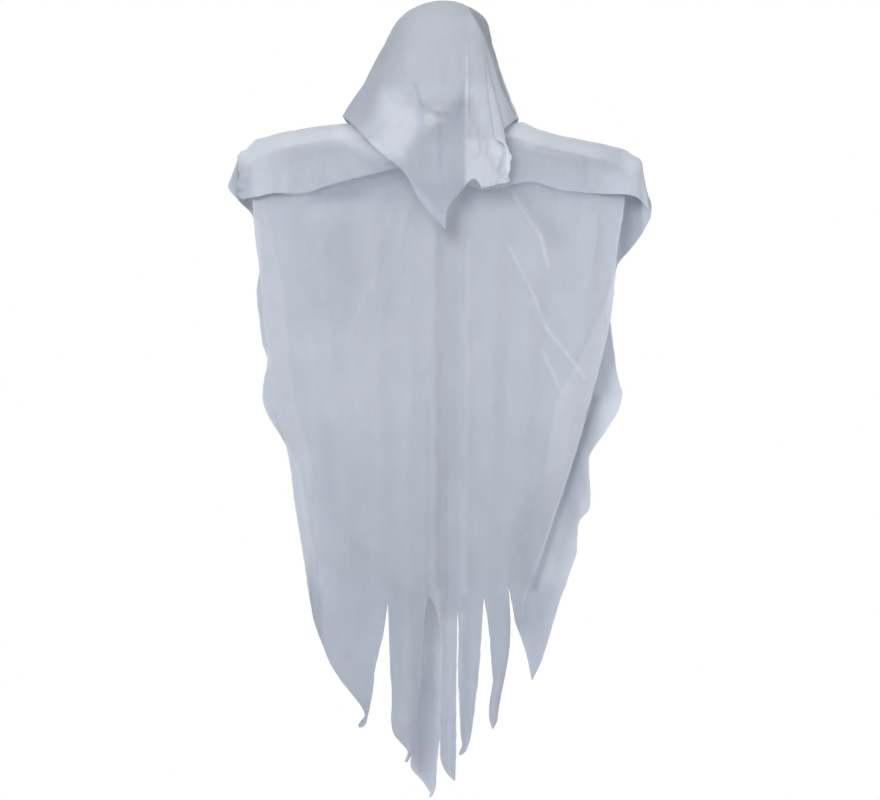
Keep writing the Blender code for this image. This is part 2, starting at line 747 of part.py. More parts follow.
def make_neck_tie():
    """The tie: a band round the stem between head and arms, joined to its flattened knot."""
    height = HEAD_TOP - HEAD_HEIGHT - TIE_HEAD_GAP - KNOT_SIZE[2] / 2
    band_radius = STEM_RADIUS + TIE_CLEARANCE + TIE_BAND_RADIUS
    bpy.ops.mesh.primitive_torus_add(
        major_segments=14, minor_segments=6, major_radius=band_radius,
        minor_radius=TIE_BAND_RADIUS, location=(0, 0, height),
    )
    band = bpy.context.object
    band.name = "neck_tie"
    bpy.ops.mesh.primitive_uv_sphere_add(
        segments=12, ring_count=7, radius=0.5,
        location=(KNOT_OFFSET[0], KNOT_OFFSET[1], height),
    )
    knot = bpy.context.object
    knot.name = "neck_tie_knot"
    knot.scale = KNOT_SIZE
    union = band.modifiers.new("knot", "BOOLEAN")
    union.operation = "UNION"
    union.object = knot
    knot.hide_render = True
    knot.display_type = "WIRE"
    return band, knot


def make_material(name, color, roughness):
    material = bpy.data.materials.new(name)
    material.use_nodes = True
    shader = material.node_tree.nodes["Principled BSDF"]
    shader.inputs["Base Color"].default_value = (*color, 1.0)
    shader.inputs["Roughness"].default_value = roughness
    material.diffuse_color = (*color, 1.0)
    return material


def build():
    for old in list(bpy.data.objects):
        bpy.data.objects.remove(old)
    parts = bpy.data.collections.new("hanging_ghost")
    cutters = bpy.data.collections.new("cutters")
    bpy.context.scene.collection.children.link(parts)
    bpy.context.scene.collection.children.link(cutters)

    neck_left = arm_length_at(-PAD_NECK_DISTANCE)
    neck_right = arm_length_at(PAD_NECK_DISTANCE)
    tie, knot = make_neck_tie()
    pieces = (
        (make_head(), (0.80, 0.80, 0.78), 0.8),
        (make_stem(), (0.45, 0.46, 0.48), 0.4),
        (make_arm_wire(), (0.45, 0.46, 0.48), 0.4),
        (make_pad("arm_pad_left", neck_left, 0.0), (0.80, 0.82, 0.84), 0.9),
        (make_pad("arm_pad_right", neck_right, ARM_LENGTH), (0.80, 0.82, 0.84), 0.9),
        (tie, (0.75, 0.76, 0.68), 0.8),
        (make_robe_front(), (0.50, 0.55, 0.62), 0.9),
        (make_robe_back(), (0.48, 0.53, 0.60), 0.9),
        (make_veil(), (0.52, 0.57, 0.64), 0.9),
    )
    for piece, color, roughness in pieces:
        for holder in list(piece.users_collection):
            holder.objects.unlink(piece)
        parts.objects.link(piece)
        piece.data.materials.clear()
        piece.data.materials.append(make_material(piece.name, color, roughness))
    for holder in list(knot.users_collection):
        holder.objects.unlink(knot)
    cutters.objects.link(knot)


build()
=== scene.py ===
"""Looks of the hanging ghost decoration: thin gauze sheets, foam head, wadding arms and wires.

Every sheet is a surface of two parameters worked out with numpy, finer than the solids of the
frame but on the same outlines. Lengths are metres. The outlines are seen from the front, as x
and height above the neck, which is where the stem hooks under the arm wire.
"""

import math

import bpy
import numpy as np
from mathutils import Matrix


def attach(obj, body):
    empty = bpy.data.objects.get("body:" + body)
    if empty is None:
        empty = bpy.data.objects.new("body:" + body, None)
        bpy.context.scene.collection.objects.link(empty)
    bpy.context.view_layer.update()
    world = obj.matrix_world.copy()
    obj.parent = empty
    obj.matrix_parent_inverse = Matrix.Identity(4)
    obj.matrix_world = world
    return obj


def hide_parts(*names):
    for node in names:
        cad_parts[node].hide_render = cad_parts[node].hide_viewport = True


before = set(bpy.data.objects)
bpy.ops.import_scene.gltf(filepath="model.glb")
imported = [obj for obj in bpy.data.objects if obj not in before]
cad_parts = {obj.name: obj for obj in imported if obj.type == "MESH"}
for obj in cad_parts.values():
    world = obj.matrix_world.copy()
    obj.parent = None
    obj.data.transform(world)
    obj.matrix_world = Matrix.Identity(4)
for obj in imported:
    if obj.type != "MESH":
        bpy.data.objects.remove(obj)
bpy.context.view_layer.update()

# The photograph's frame
PHOTO_SCALE = 0.00125
PHOTO_CENTRE = (440.0, 400.0)
PHOTO_TOP = 1.0
PHOTO_WIDTH = 880
LENS = 400.0
SENSOR = 36.0
CAMERA_PLANE = -0.02

# Studio light: strength of the surroundings, then each lamp's name, place, size and power
WORLD_STRENGTH = 0.625
LAMP_TARGET = (0.0, 0.0, -0.45)
LAMPS = (
    ("key", (-0.9, -3.0, 1.0), 1.4, 53),
    ("fill", (1.6, -3.0, 0.1), 2.0, 15),
)

# Colours of the gauze in painted shade and in painted light, which the sheets' lightness mixes, and how
# far light spreads inside its threads
LIGHT_SPREAD = 0.0010
GAUZE_IN_PAINTED_SHADE = (0.362, 0.396, 0.456)
GAUZE_IN_PAINTED_LIGHT = (0.738, 0.782, 0.860)

# The weave: its threads' pitch and wandering, its holes and streaks, and what each adds
THREAD_PITCH = 0.0009
WANDER_SCALE = 90.0
WANDER_TURNS = 2.6
HOLE_WIDENING = 1.8
STREAK_SIZE = 0.004
STREAK_SLIMNESS = 0.04
CLOUD_SHARE = 0.16
STREAK_SHARE = 0.055
THREAD_MIDDLE = 0.7
THREAD_SHARE = 0.14
HOLE_SHARE = 0.35

# Foam, wadding, tape and steel
CELL_SHARE = 0.6
FUZZ_SHARE = 0.4
FUZZ_FINENESS = 1.7
SCRATCH_SHARE = 0.35
SMOOTHEST_STEEL = 0.2

# Cloth and the layers round the arms
CLOTH_THICKNESS = 0.0005
HEAD_WIDTH = 0.100
HEAD_HEIGHT = 0.137
HEAD_TAPER = 0.28
HEAD_TOP = -0.0015
NECK_HEIGHT = -0.171
PAD_RADIUS = 0.013
ARM_DEPTH = 0.0033
FRONT_LAYER_RADIUS = 0.0148
BACK_LAYER_RADIUS = 0.0170
FRONT = -1
BACK = 1

# How many fine columns and rows stand for one coarse one
FINE = 7
WRAP_ROWS = 20
BAND_ROWS = 5
ARC_ROWS = 30
FLAP_ROWS = 26
PANEL_ROWS = 140
STRIP_ROWS = 42
MARGIN_COLUMNS = 8
BRIDGE_ROWS = 10
EDGE_CROWDING = 0.3

# The arm wire's axis, as x and height
ARM_ROUTE = (
    (-0.236, -0.027), (-0.226, -0.020), (-0.207, -0.013), (-0.175, -0.006), (-0.109, 0.002),
    (-0.050, 0.002), (0.000, 0.000), (0.050, 0.004), (0.090, 0.003), (0.122, -0.006),
    (0.181, -0.020), (0.209, -0.026), (0.228, -0.032), (0.237, -0.037),
)
PAD_NECK_DISTANCE = 0.046
PAD_BORE = 0.0022
PAD_POINT = 0.0004
PAD_SIDES = 48
PAD_STATIONS = 90
PAD_SEEDS = (51, 53)
PAD_SKIN_DEPTH = 0.0005
PAD_LUMPS = 0.00025

# The foam head and the neck tie
FOAM_BORE = 0.0018
FOAM_POCKET = 0.0059
FOAM_POCKET_DEPTH = 0.014
FOAM_NECK_FLAT = 0.004
FOAM_RINGS = 84
FOAM_SIDES = 110
FOAM_DENTS = 0.0002
FOAM_SEED = 41
TIE_HEAD_GAP = 0.0005
TIE_RING = 0.0048
TIE_TUBE = 0.0030
TIE_RING_STEPS = 96
TIE_TUBE_STEPS = 40
KNOT_RINGS = 60
KNOT_PLACE = (-0.012, -0.004)
KNOT_HALF_SIZE = (0.009, 0.006, 0.009)

# The front panel: its wrap round the arms, its neckline and its side edges
FRONT_SEED = 11
FRONT_WRAP = math.radians(140)
FRONT_NECK_HALF_WIDTH = 0.030
FRONT_NECK_DROP = 0.014
NECKLINE_BAND = 0.006
WRAP_DROP = 0.030
FRONT_LEFT_EDGE = (
    (-0.235, -0.030), (-0.234, -0.084), (-0.2305, -0.128), (-0.2265, -0.157), (-0.222, -0.215),
    (-0.215, -0.281), (-0.206, -0.341), (-0.1938, -0.378), (-0.1875, -0.408), (-0.1812, -0.458),
    (-0.1730, -0.508), (-0.1625, -0.578),
)
FRONT_RIGHT_EDGE = (
    (0.232, -0.034), (0.231, -0.078), (0.222, -0.140), (0.215, -0.215), (0.190, -0.323),
    (0.172, -0.386), (0.155, -0.438), (0.140, -0.481), (0.121, -0.538),
)

# The back sheet: its side edges, the notch at the neck and the flaps in front
BACK_SEED = 23
BACK_LEFT_EDGE = (
    (-0.2535, -0.035), (-0.2555, -0.047), (-0.2655, -0.058), (-0.2525, -0.078), (-0.2375, -0.093),
    (-0.2290, -0.130), (-0.2262, -0.160), (-0.2302, -0.192), (-0.2265, -0.228), (-0.2225, -0.258),
    (-0.2165, -0.278), (-0.2205, -0.300), (-0.2222, -0.330), (-0.2150, -0.349), (-0.2025, -0.369),
    (-0.1850, -0.402), (-0.1720, -0.460), (-0.1530, -0.577),
)
BACK_RIGHT_EDGE = (
    (0.2535, -0.043), (0.2600, -0.068), (0.2655, -0.088), (0.2637, -0.098), (0.2545, -0.117),
    (0.2388, -0.139), (0.2235, -0.157), (0.2190, -0.180), (0.2135, -0.218), (0.2150, -0.238),
    (0.2190, -0.270), (0.2230, -0.298), (0.2285, -0.320), (0.2245, -0.339), (0.2137, -0.358),
    (0.2005, -0.378), (0.1885, -0.396), (0.1875, -0.422), (0.1890, -0.446), (0.1868, -0.466),
    (0.1755, -0.479), (0.1727, -0.498), (0.1715, -0.520), (0.1642, -0.541),
)
NECK_NOTCH_HALF_WIDTH = 0.029
NECK_NOTCH_BACK_ANGLE = math.radians(-55)
FLAP_HEM = (
    (-0.252, -0.076), (-0.234, -0.075), (-0.212, -0.070), (-0.169, -0.069), (-0.137, -0.059),
    (-0.087, -0.046), (-0.050, -0.038), (-0.029, -0.035), (0.000, -0.035), (0.029, -0.055),
    (0.050, -0.065), (0.075, -0.063), (0.112, -0.055), (0.150, -0.065), (0.200, -0.070),
    (0.250, -0.077), (0.262, -0.091),
)
FLAP_FLARE = 0.006
FLAP_RIPPLE = 0.0012
FLAP_SEED = 31

# The crumpled left end of the flaps: from x, over a width, and how soon it starts below the arm
CRUMPLED_FROM = -0.215
CRUMPLED_WIDTH = 0.034
CRUMPLED_GROWTH = 2.2

# Where the back sheet lies lower or higher on top of the arms: x, half width, how much higher
ARM_TOP_SHAPES = (
    (-0.2435, 0.006, -0.0068),
    (0.2440, 0.006, -0.0034),
    (0.1060, 0.009, 0.0026),
    (0.1500, 0.020, -0.0010),
)

# The studio floor under the hanging object
FLOOR_HEIGHT = -1.30
FLOOR_HALF_SIZE = 2.0
FLOOR_STEPS = 90
FLOOR_WAVES = 0.0006

# How far cut edges stray from their lines, in waves of what size
EDGE_STRAY = 0.00020
STRAY_STEEPNESS = 0.1
STRIP_STRAY_SIZE = 0.020
STRIP_STRAY_ROOM = 0.02
SIDE_STRAY_SIZE = 0.014
SIDE_STRAY_REACH = 0.006
SIDE_STRAY_SEEDS = (71, 72)

# Margins of the front panel that are turned back behind it: height and width
LEFT_MARGIN = ((-0.020, 0.0), (-0.080, 0.018), (-0.200, 0.030), (-0.420, 0.028), (-0.572, 0.0))
RIGHT_MARGIN = ((-0.160, 0.0), (-0.240, 0.020), (-0.330, 0.045), (-0.400, 0.036), (-0.540, 0.0))
MARGIN_GAP = 0.0022
MARGIN_ROUNDING = 0.008
MARGIN_LEAST = 0.0005

# How the strips' rows crowd, where their points end, and how they swing and curl
STRIP_ROW_POWER = 1.15
STRIP_TIP_SHARE = 0.992
STRIP_SWING = 0.004
STRIP_SWING_TURN = 2.4
STRIP_SWING_STEP = 1.9
STRIP_CURL_GAIN = 1.4
STRIP_CURL_ROOM = 0.016

# Hem strips: left edge, right edge, how far the tip leans out, how far the edges curl, columns
FRONT_STRIPS = (
    (
        ((-0.1625, -0.578), (-0.1562, -0.608), (-0.1487, -0.628), (-0.1363, -0.658),
         (-0.1237, -0.678), (-0.1075, -0.698), (-0.0950, -0.7165), (-0.0935, -0.7215),
         (-0.0990, -0.7285), (-0.1020, -0.7345), (-0.0998, -0.7376)),
        ((-0.0650, -0.577), (-0.0688, -0.608), (-0.0725, -0.628), (-0.0800, -0.658),
         (-0.0850, -0.698), (-0.0900, -0.7215), (-0.0940, -0.7340), (-0.0998, -0.7376)),
        0.004, 0.006, 9,
    ),
    (
        ((-0.0650, -0.577), (-0.0635, -0.628), (-0.0620, -0.668), (-0.0600, -0.700),
         (-0.0608, -0.728), (-0.0575, -0.746), (-0.0475, -0.7575), (-0.0400, -0.7670),
         (-0.0425, -0.7755), (-0.0445, -0.7810)),
        ((-0.0140, -0.571), (-0.0176, -0.590), (-0.0195, -0.621), (-0.0221, -0.676),
         (-0.0258, -0.7164), (-0.0286, -0.7493), (-0.0325, -0.7684), (-0.0370, -0.7735),
         (-0.0410, -0.7800), (-0.0445, -0.7810)),
        -0.004, -0.006, 5,
    ),
    (
        ((-0.0140, -0.571), (-0.0050, -0.590), (0.0000, -0.610), (0.0010, -0.675),
         (0.0000, -0.757), (0.0010, -0.7770), (0.0048, -0.7877), (0.0120, -0.7977),
         (0.0187, -0.8045)),
        ((0.0220, -0.583), (0.0212, -0.619), (0.0202, -0.689), (0.0194, -0.790), (0.0187, -0.8045)),
        0.003, 0.005, 3,
    ),
    (
        ((0.0220, -0.583), (0.0232, -0.610), (0.0226, -0.678), (0.0245, -0.715),
         (0.0262, -0.748), (0.0276, -0.7600), (0.0240, -0.7685), (0.0232, -0.7720)),
        ((0.0550, -0.574), (0.0530, -0.600), (0.0513, -0.628), (0.0475, -0.678), (0.0437, -0.708),
         (0.0400, -0.738), (0.0355, -0.758), (0.0300, -0.7690), (0.0232, -0.7720)),
        -0.003, 0.006, 3,
    ),
    (
        ((0.0550, -0.574), (0.0588, -0.598), (0.0625, -0.628), (0.0645, -0.658), (0.0663, -0.678),
         (0.0640, -0.694), (0.0613, -0.718), (0.0625, -0.728), (0.0655, -0.7395)),
        ((0.0850, -0.555), (0.0875, -0.590), (0.0875, -0.628), (0.0838, -0.658), (0.0800, -0.678),
         (0.0763, -0.696), (0.0725, -0.718), (0.0713, -0.728), (0.0655, -0.7395)),
        0.004, -0.006, 3,
    ),
    (
        ((0.0850, -0.555), (0.0880, -0.568), (0.0920, -0.588), (0.0990, -0.618)),
        ((0.1210, -0.538), (0.1070, -0.578), (0.0990, -0.618)),
        0.000, 0.004, 4,
    ),
)
BACK_STRIPS = (
    (
        ((-0.153, -0.577), (-0.142, -0.615), (-0.126, -0.653), (-0.100, -0.693)),
        ((-0.064, -0.577), (-0.073, -0.618), (-0.084, -0.659), (-0.100, -0.693)),
        0.003, 0.005, 9,
    ),
    (
        ((-0.064, -0.577), (-0.055, -0.649), (-0.045, -0.728), (-0.0360, -0.770),
         (-0.0362, -0.7896), (-0.0240, -0.8040), (-0.0145, -0.8175), (-0.0118, -0.8240),
         (-0.0142, -0.8262), (-0.0138, -0.8278)),
        ((0.001, -0.579), (0.002, -0.658), (0.000, -0.752), (-0.0026, -0.7713),
         (-0.0045, -0.7970), (-0.0085, -0.8226), (-0.0110, -0.8262), (-0.0138, -0.8278)),
        -0.004, 0.006, 5,
    ),
    (
        ((0.001, -0.579), (0.004, -0.653), (0.008, -0.728), (0.015, -0.782)),
        ((0.022, -0.583), (0.019, -0.653), (0.018, -0.728), (0.015, -0.782)),
        0.004, 0.004, 3,
    ),
    (
        ((0.022, -0.583), (0.026, -0.640), (0.028, -0.703), (0.029, -0.751)),
        ((0.055, -0.574), (0.049, -0.640), (0.042, -0.703), (0.029, -0.751)),
        -0.004, -0.005, 3,
    ),
    (
        ((0.055, -0.574), (0.065, -0.631), (0.068, -0.675), (0.068, -0.713)),
        ((0.085, -0.555), (0.085, -0.628), (0.077, -0.678), (0.068, -0.713)),
        0.003, 0.005, 3,
    ),
    (
        ((0.0850, -0.555), (0.0875, -0.568), (0.0913, -0.588), (0.0950, -0.608),
         (0.1025, -0.628), (0.1088, -0.648), (0.1155, -0.6805)),
        ((0.1642, -0.541), (0.1588, -0.558), (0.1512, -0.578), (0.1450, -0.598),
         (0.1363, -0.628), (0.1263, -0.658), (0.1155, -0.6805)),
        0.004, -0.006, 5,
    ),
)

# Hanging folds: x at the arms, x at the slits, half width, how far they stand out
FRONT_FOLDS = (
    (-0.222, -0.150, 0.018, 0.008),
    (-0.160, -0.112, 0.016, 0.007),
    (-0.085, -0.072, 0.014, 0.006),
    (-0.040, -0.040, 0.012, 0.005),
    (-0.004, -0.002, 0.009, 0.009),
    (0.026, 0.027, 0.009, 0.008),
    (0.072, 0.058, 0.014, 0.008),
    (0.130, 0.090, 0.016, 0.007),
    (0.200, 0.135, 0.018, 0.008),
)
BACK_FOLDS = (
    (-0.215, -0.140, 0.020, 0.009),
    (-0.140, -0.095, 0.017, 0.008),
    (-0.070, -0.050, 0.014, 0.007),
    (-0.015, -0.012, 0.012, 0.009),
    (0.050, 0.035, 0.014, 0.008),
    (0.115, 0.080, 0.016, 0.008),
    (0.205, 0.140, 0.020, 0.009),
)
FOLD_GROWTH = 0.10
FOLD_LOWEST = 1.3
RIPPLE_GROWTH = 0.06
# Ripples of a hanging panel: how far they stand out, step of the seed, size, steepness
PANEL_RIPPLES = ((0.0009, 0, 0.055, 0.35), (0.00035, 1, 0.018, 0.6))
PANEL_SPREAD = 0.012
SPREAD_LENGTH = 0.45
SLIT_LEVEL = -0.574

# Sharp creases: from (x, height), to (x, height), half width, how far they stand out
FRONT_CREASES = (
    ((0.084, -0.058), (0.125, -0.122), 0.0022, 0.0050),
    ((0.122, -0.116), (0.137, -0.166), 0.0022, 0.0038),
    ((0.085, -0.128), (0.136, -0.240), 0.0020, 0.0042),
    ((0.132, -0.232), (0.182, -0.305), 0.0020, 0.0036),
    ((0.126, -0.262), (0.153, -0.322), 0.0022, 0.0030),
    ((-0.059, -0.078), (-0.088, -0.192), -0.0026, 0.0030),
    ((-0.032, -0.062), (-0.075, -0.240), -0.0030, 0.0024),
    ((-0.085, -0.188), (-0.100, -0.290), -0.0026, 0.0020),
    ((-0.120, -0.078), (-0.150, -0.160), -0.0040, 0.0022),
    ((0.200, -0.085), (0.188, -0.190), -0.0035, 0.0024),
    ((-0.148, -0.060), (-0.118, -0.112), 0.0030, 0.0020),
    ((0.048, -0.075), (0.066, -0.190), 0.0026, 0.0020),
)
BACK_CREASES = (
    ((-0.030, -0.040), (-0.110, -0.260), -0.0030, 0.0040),
    ((0.030, -0.040), (0.095, -0.230), 0.0030, 0.0040),
    ((-0.010, -0.050), (-0.022, -0.300), 0.0026, 0.0034),
    ((0.060, -0.030), (0.170, -0.190), 0.0034, 0.0034),
    ((-0.070, -0.030), (-0.180, -0.170), -0.0034, 0.0034),
)

# Veil: hem stretches of x, y and height above the neck, with their coarse columns
VEIL_HEM = (
    (
        ((0.006, -0.066, -0.115), (-0.027, -0.068, -0.078), (-0.050, -0.062, -0.038),
         (-0.063, -0.058, -0.026), (-0.094, -0.044, 0.001), (-0.1225, -0.008, 0.027)),
        10,
    ),
    (
        ((-0.1225, -0.008, 0.027), (-0.112, 0.016, 0.020), (-0.086, 0.046, 0.001),
         (-0.045, 0.066, -0.037), (0.000, 0.070, -0.067)),
        8,
    ),
    (
        ((0.000, 0.070, -0.067), (0.045, 0.066, -0.037), (0.080, 0.046, 0.001),
         (0.097, 0.004, 0.025)),
        8,
    ),
    (
        ((0.097, 0.004, 0.025), (0.086, -0.028, 0.013), (0.062, -0.036, 0.000),
         (0.032, -0.042, -0.004)),
        4,
    ),
    (
        ((0.032, -0.042, -0.004), (0.064, -0.047, -0.002), (0.082, -0.043, -0.014),
         (0.086, -0.041, -0.034), (0.086, -0.040, -0.054)),
        3,
    ),
    (((0.086, -0.040, -0.054), (0.068, -0.055, -0.059), (0.051, -0.062, -0.064)), 4),
    (
        ((0.051, -0.062, -0.064), (0.044, -0.064, -0.053), (0.025, -0.066, -0.070),
         (0.010, -0.067, -0.088), (0.006, -0.066, -0.115)),
        6,
    ),
)
# Ridges of the veil's front: from, to, half width, how far they stand out
VEIL_CREASES = (
    ((-0.050, 0.150), (-0.108, 0.040), 0.0040, 0.0020),
    ((-0.020, 0.152), (-0.046, 0.060), 0.0050, 0.0012),
    ((0.0335, 0.120), (0.0335, 0.000), 0.0020, 0.0030),
    ((0.036, 0.158), (0.056, 0.122), 0.0030, 0.0022),
    ((0.052, 0.128), (0.078, 0.056), 0.0040, 0.0010),
    ((0.074, 0.066), (0.094, 0.024), 0.0030, 0.0018),
    ((-0.004, 0.140), (-0.001, 0.040), 0.0034, 0.0014),
    ((-0.060, 0.010), (-0.020, -0.060), 0.0040, 0.0016),
)
# Fuller and flatter places of the crown: x, height, half width, how far they stand out
VEIL_CROWN_BUMPS = (
    (0.052, 0.148, 0.018, 0.0048),
    (0.068, 0.100, 0.022, 0.0014),
    (0.084, 0.070, 0.018, 0.0006),
    (-0.042, 0.162, 0.008, 0.0016),
    (-0.058, 0.126, 0.016, -0.0026),
    (-0.096, 0.070, 0.026, -0.0008),
)
# The crown is highest right of the middle: x, width, how much higher
VEIL_CROWN_LIFT = (0.040, 0.034, 0.0036)
VEIL_TIP_SPREAD = 9.0
VEIL_FINE = 7
VEIL_ROWS = 110
PLEAT_STRETCHES = (3, 4, 5)
PLEAT_GAP = 0.0016
PLEAT_OPENS = 0.35
CROWN_HEIGHT = 0.0002
VEIL_CROWN_WIDENING = 1.15
VEIL_FLARE_POWER = 1.5
VEIL_ROW_POWER = 2.0
VEIL_FOLDS = 7
VEIL_FOLD_DEPTH = 0.004
VEIL_LOOSE_FROM = 0.25
VEIL_LOOSE_OVER = 0.4
VEIL_COARSE_RIPPLE = 0.0007
VEIL_FINE_RIPPLE = 0.00025
BUNCH_COARSE = 0.0022
BUNCH_FINE = 0.0009
VEIL_CLOTH_STRETCH = 1.15
VEIL_CLOTH_REST = 0.04


def block(left, low, right, high):
    """The outline of a patch with level and upright sides, turning left."""
    return ((left, low), (right, low), (right, high), (left, high))


# Painted light and shade of the cloth, as lighter and darker lines and patches: highlights on creases
# and fold edges, shadows under hems and beside edges, and light where layers and pads lie behind.
# Places are x and height above the neck
FRONT_PAINTED_SHADING_STROKES = (
    ((-0.0035, -0.110), (-0.0025, -0.560), 0.0040, -0.17),
    ((0.018, -0.120), (0.018, -0.420), 0.0160, -0.08),
    ((0.034, -0.130), (0.031, -0.570), 0.0040, 0.13),
    ((-0.016, -0.330), (-0.016, -0.575), 0.0026, -0.09),
    ((0.0065, -0.360), (0.0085, -0.575), 0.0022, -0.05),
    ((0.087, -0.064), (0.125, -0.122), 0.0026, 0.13),
    ((0.125, -0.122), (0.136, -0.160), 0.0022, 0.24),
    ((0.106, -0.078), (0.146, -0.126), 0.0120, -0.13),
    ((0.087, -0.135), (0.135, -0.238), 0.0018, 0.15),
    ((0.135, -0.238), (0.180, -0.300), 0.0018, 0.22),
    ((0.128, -0.268), (0.152, -0.318), 0.0020, 0.17),
    ((-0.168, -0.400), (-0.150, -0.560), 0.0160, 0.09),
    ((0.110, -0.150), (0.146, -0.200), 0.0120, 0.05),
    ((-0.059, -0.084), (-0.085, -0.188), 0.0022, 0.10),
    ((-0.088, -0.176), (-0.118, -0.262), 0.0022, 0.09),
    ((-0.118, -0.090), (-0.112, -0.230), 0.0120, -0.06),
    ((-0.144, -0.365), (-0.139, -0.448), 0.0140, -0.06),
    ((-0.128, -0.478), (-0.088, -0.532), 0.0120, -0.06),
    ((-0.070, -0.555), (-0.048, -0.572), 0.0120, -0.07),
    ((-0.124, -0.330), (-0.070, -0.330), 0.0300, 0.05),
)
# Painted shadows under the left flap's hem and right of the veil's tip, and painted shade and light on
# the lower panel
FRONT_PAINTED_SHADING_PATCHES = (
    (((-0.160, -0.080), (-0.091, -0.074), (-0.060, -0.034), (-0.160, -0.054)), 0.018, -0.28),
    (((0.003, -0.112), (0.018, -0.124), (0.044, -0.066), (0.026, -0.056)), 0.018, -0.22),
    (
        ((0.081, -0.518), (0.086, -0.551), (0.114, -0.562), (0.1245, -0.504), (0.1245, -0.427),
         (0.099, -0.467)),
        0.026, -0.10,
    ),
    (block(-0.190, -0.230, -0.050, -0.090), 0.060, -0.07),
    (block(0.000, -0.830, 0.022, -0.600), 0.010, 0.17),
    (block(0.023, -0.800, 0.056, -0.590), 0.010, 0.05),
)
STRIPS_BACKED = (((-0.054, -0.730), (0.018, -0.730), (0.018, -0.540), (-0.060, -0.540)), 0.016, 1.0)
# Painted light on the flaps: a bright spot at the right, and light over the shadow under the veil's hem
# at the left. The cloth is also denser along these strokes
FLAP_PAINTED_LIGHT_STROKES = (
    ((0.098, 0.004), (0.112, -0.006), 0.0090, 0.14),
    ((-0.120, 0.004), (-0.070, -0.022), 0.0110, 0.32),
)
# Painted shade on the right flap and in the crumpled left end, and painted light on the left flap
FLAP_PAINTED_SHADING_PATCHES = (
    (((0.130, -0.020), (0.230, -0.046), (0.230, -0.010), (0.130, 0.010)), 0.020, -0.20),
    (((-0.200, -0.072), (-0.090, -0.046), (-0.090, -0.018), (-0.200, -0.034)), 0.020, 0.08),
    (((-0.275, -0.100), (-0.234, -0.100), (-0.236, -0.036), (-0.275, -0.036)), 0.012, -0.22),
)
BACK_THIN = (block(-0.028, -0.650, 0.008, -0.555), 0.040, 1.0)
# Painted shadow of the front panel's right edge on the back sheet, with painted light beside it and
# painted shade lower
BACK_PAINTED_SHADING_STROKES = (
    ((0.196, -0.325), (0.119, -0.563), 0.0045, -0.34),
    ((0.206, -0.335), (0.140, -0.548), 0.0140, 0.20),
    ((0.126, -0.600), (0.108, -0.670), 0.0200, -0.13),
)
# Painted shade at the outer corners and lower down, and painted light at the top of the middle strip,
# where it lies in shadow between the sheets
BACK_PAINTED_SHADING_PATCHES = (
    (block(0.226, -0.165, 0.275, -0.070), 0.014, -0.31),
    (block(-0.036, -0.660, 0.010, -0.540), 0.060, 0.46),
    (block(-0.050, -0.880, 0.010, -0.740), 0.080, -0.26),
    (((-0.280, -0.100), (-0.236, -0.100), (-0.250, -0.024), (-0.280, -0.024)), 0.012, -0.34),
    (((0.110, -0.690), (0.150, -0.640), (0.170, -0.560), (0.110, -0.560)), 0.030, -0.08),
)
# Density of each sheet, from 0 for clear to 1 for solid, and what is taken off or put on
FRONT_COVER = 0.78
FRONT_LESS_AT_ARMS = 0.44
FLAP_LESS = 0.64
ARM_TOP_LESS = 0.20
BACK_GAP_LESS = 0.26
FLAP_STROKES_MORE = 1.4
PAD_END = 0.175
PAD_END_WIDTH = 0.050
VEIL_COVER = 0.66
VEIL_THIN_LESS = 0.22

# Lightness of each sheet, from 0 for the gauze in painted shade to 1 for the gauze in painted light.
# The sheets' base values differ as painted light, and the values that change them are painted light and
# shade
FRONT_TONE = 0.51
# Painted shade where no back sheet hangs behind the front panel, and painted light on its doubled
# margins and along its rims
FRONT_BESIDE_BACK_SHADE = 0.16
LEFT_MARGIN_PAINTED_LIGHT = 0.10
RIGHT_MARGIN_PAINTED_LIGHT = 0.16
RIGHT_MARGIN_FADE = 0.17
FRONT_RIM_PAINTED_LIGHT = 0.26
FRONT_RIM_WIDTH = 0.0014
# Painted shade lower down and where one layer hangs alone, less where back strips lie behind
FRONT_LOWER_PAINTED_SHADE = 0.17
FRONT_ALONE_PAINTED_SHADE = 0.22
STRIPS_BACKED_SHARE = 0.75
FLAP_TONE = 0.77
# Painted light where the flaps lie over the white pads, and painted shade past the pads' ends
FLAP_PAD_PAINTED_LIGHT = 0.34
FLAP_END_PAINTED_SHADE = 0.40
FLAP_END_OVER_PAD = 0.6
BACK_TONE = 0.66
VEIL_TONE = 0.535
# Painted shade on the veil right of its ridge
VEIL_RIDGE_PAINTED_SHADE = 0.50
VEIL_RIDGE_WIDTH = 0.003
VEIL_RIDGE = ((0.036, 0.161), (0.056, 0.125), (0.076, 0.062), (0.095, 0.026), (0.100, -0.050))
VEIL_THIN = (
    ((-0.090, 0.000), (0.0, -0.10), (0.085, -0.060), (0.040, 0.050), (-0.060, 0.050)), 0.02, 1.0
)
# Painted highlights and shade lines on the veil: a bright spot, the bright edge of the pleat, and dark
# lines beside folds
VEIL_PAINTED_SHADING_STROKES = (
    ((-0.015, 0.0265), (-0.009, 0.0255), 0.0070, 0.32),
    ((-0.031, 0.066), (-0.0225, 0.037), 0.0022, -0.22),
    ((0.0335, 0.082), (0.025, 0.037), 0.0022, -0.16),
    ((0.0330, 0.100), (0.0330, -0.002), 0.0016, 0.26),
    ((0.0000, 0.024), (0.0000, -0.045), 0.0024, -0.16),
    ((0.0350, -0.0065), (0.0600, -0.0045), 0.0015, -0.26),
)
VEIL_DENSE = (
    (((0.0325, -0.070), (0.090, -0.062), (0.090, -0.004), (0.0325, -0.004)), 0.010, 0.10),
    (
        ((-0.080, -0.014), (-0.048, -0.026), (-0.026, 0.016), (-0.030, 0.036), (-0.066, 0.044)),
        0.030, 0.10,
    ),
)
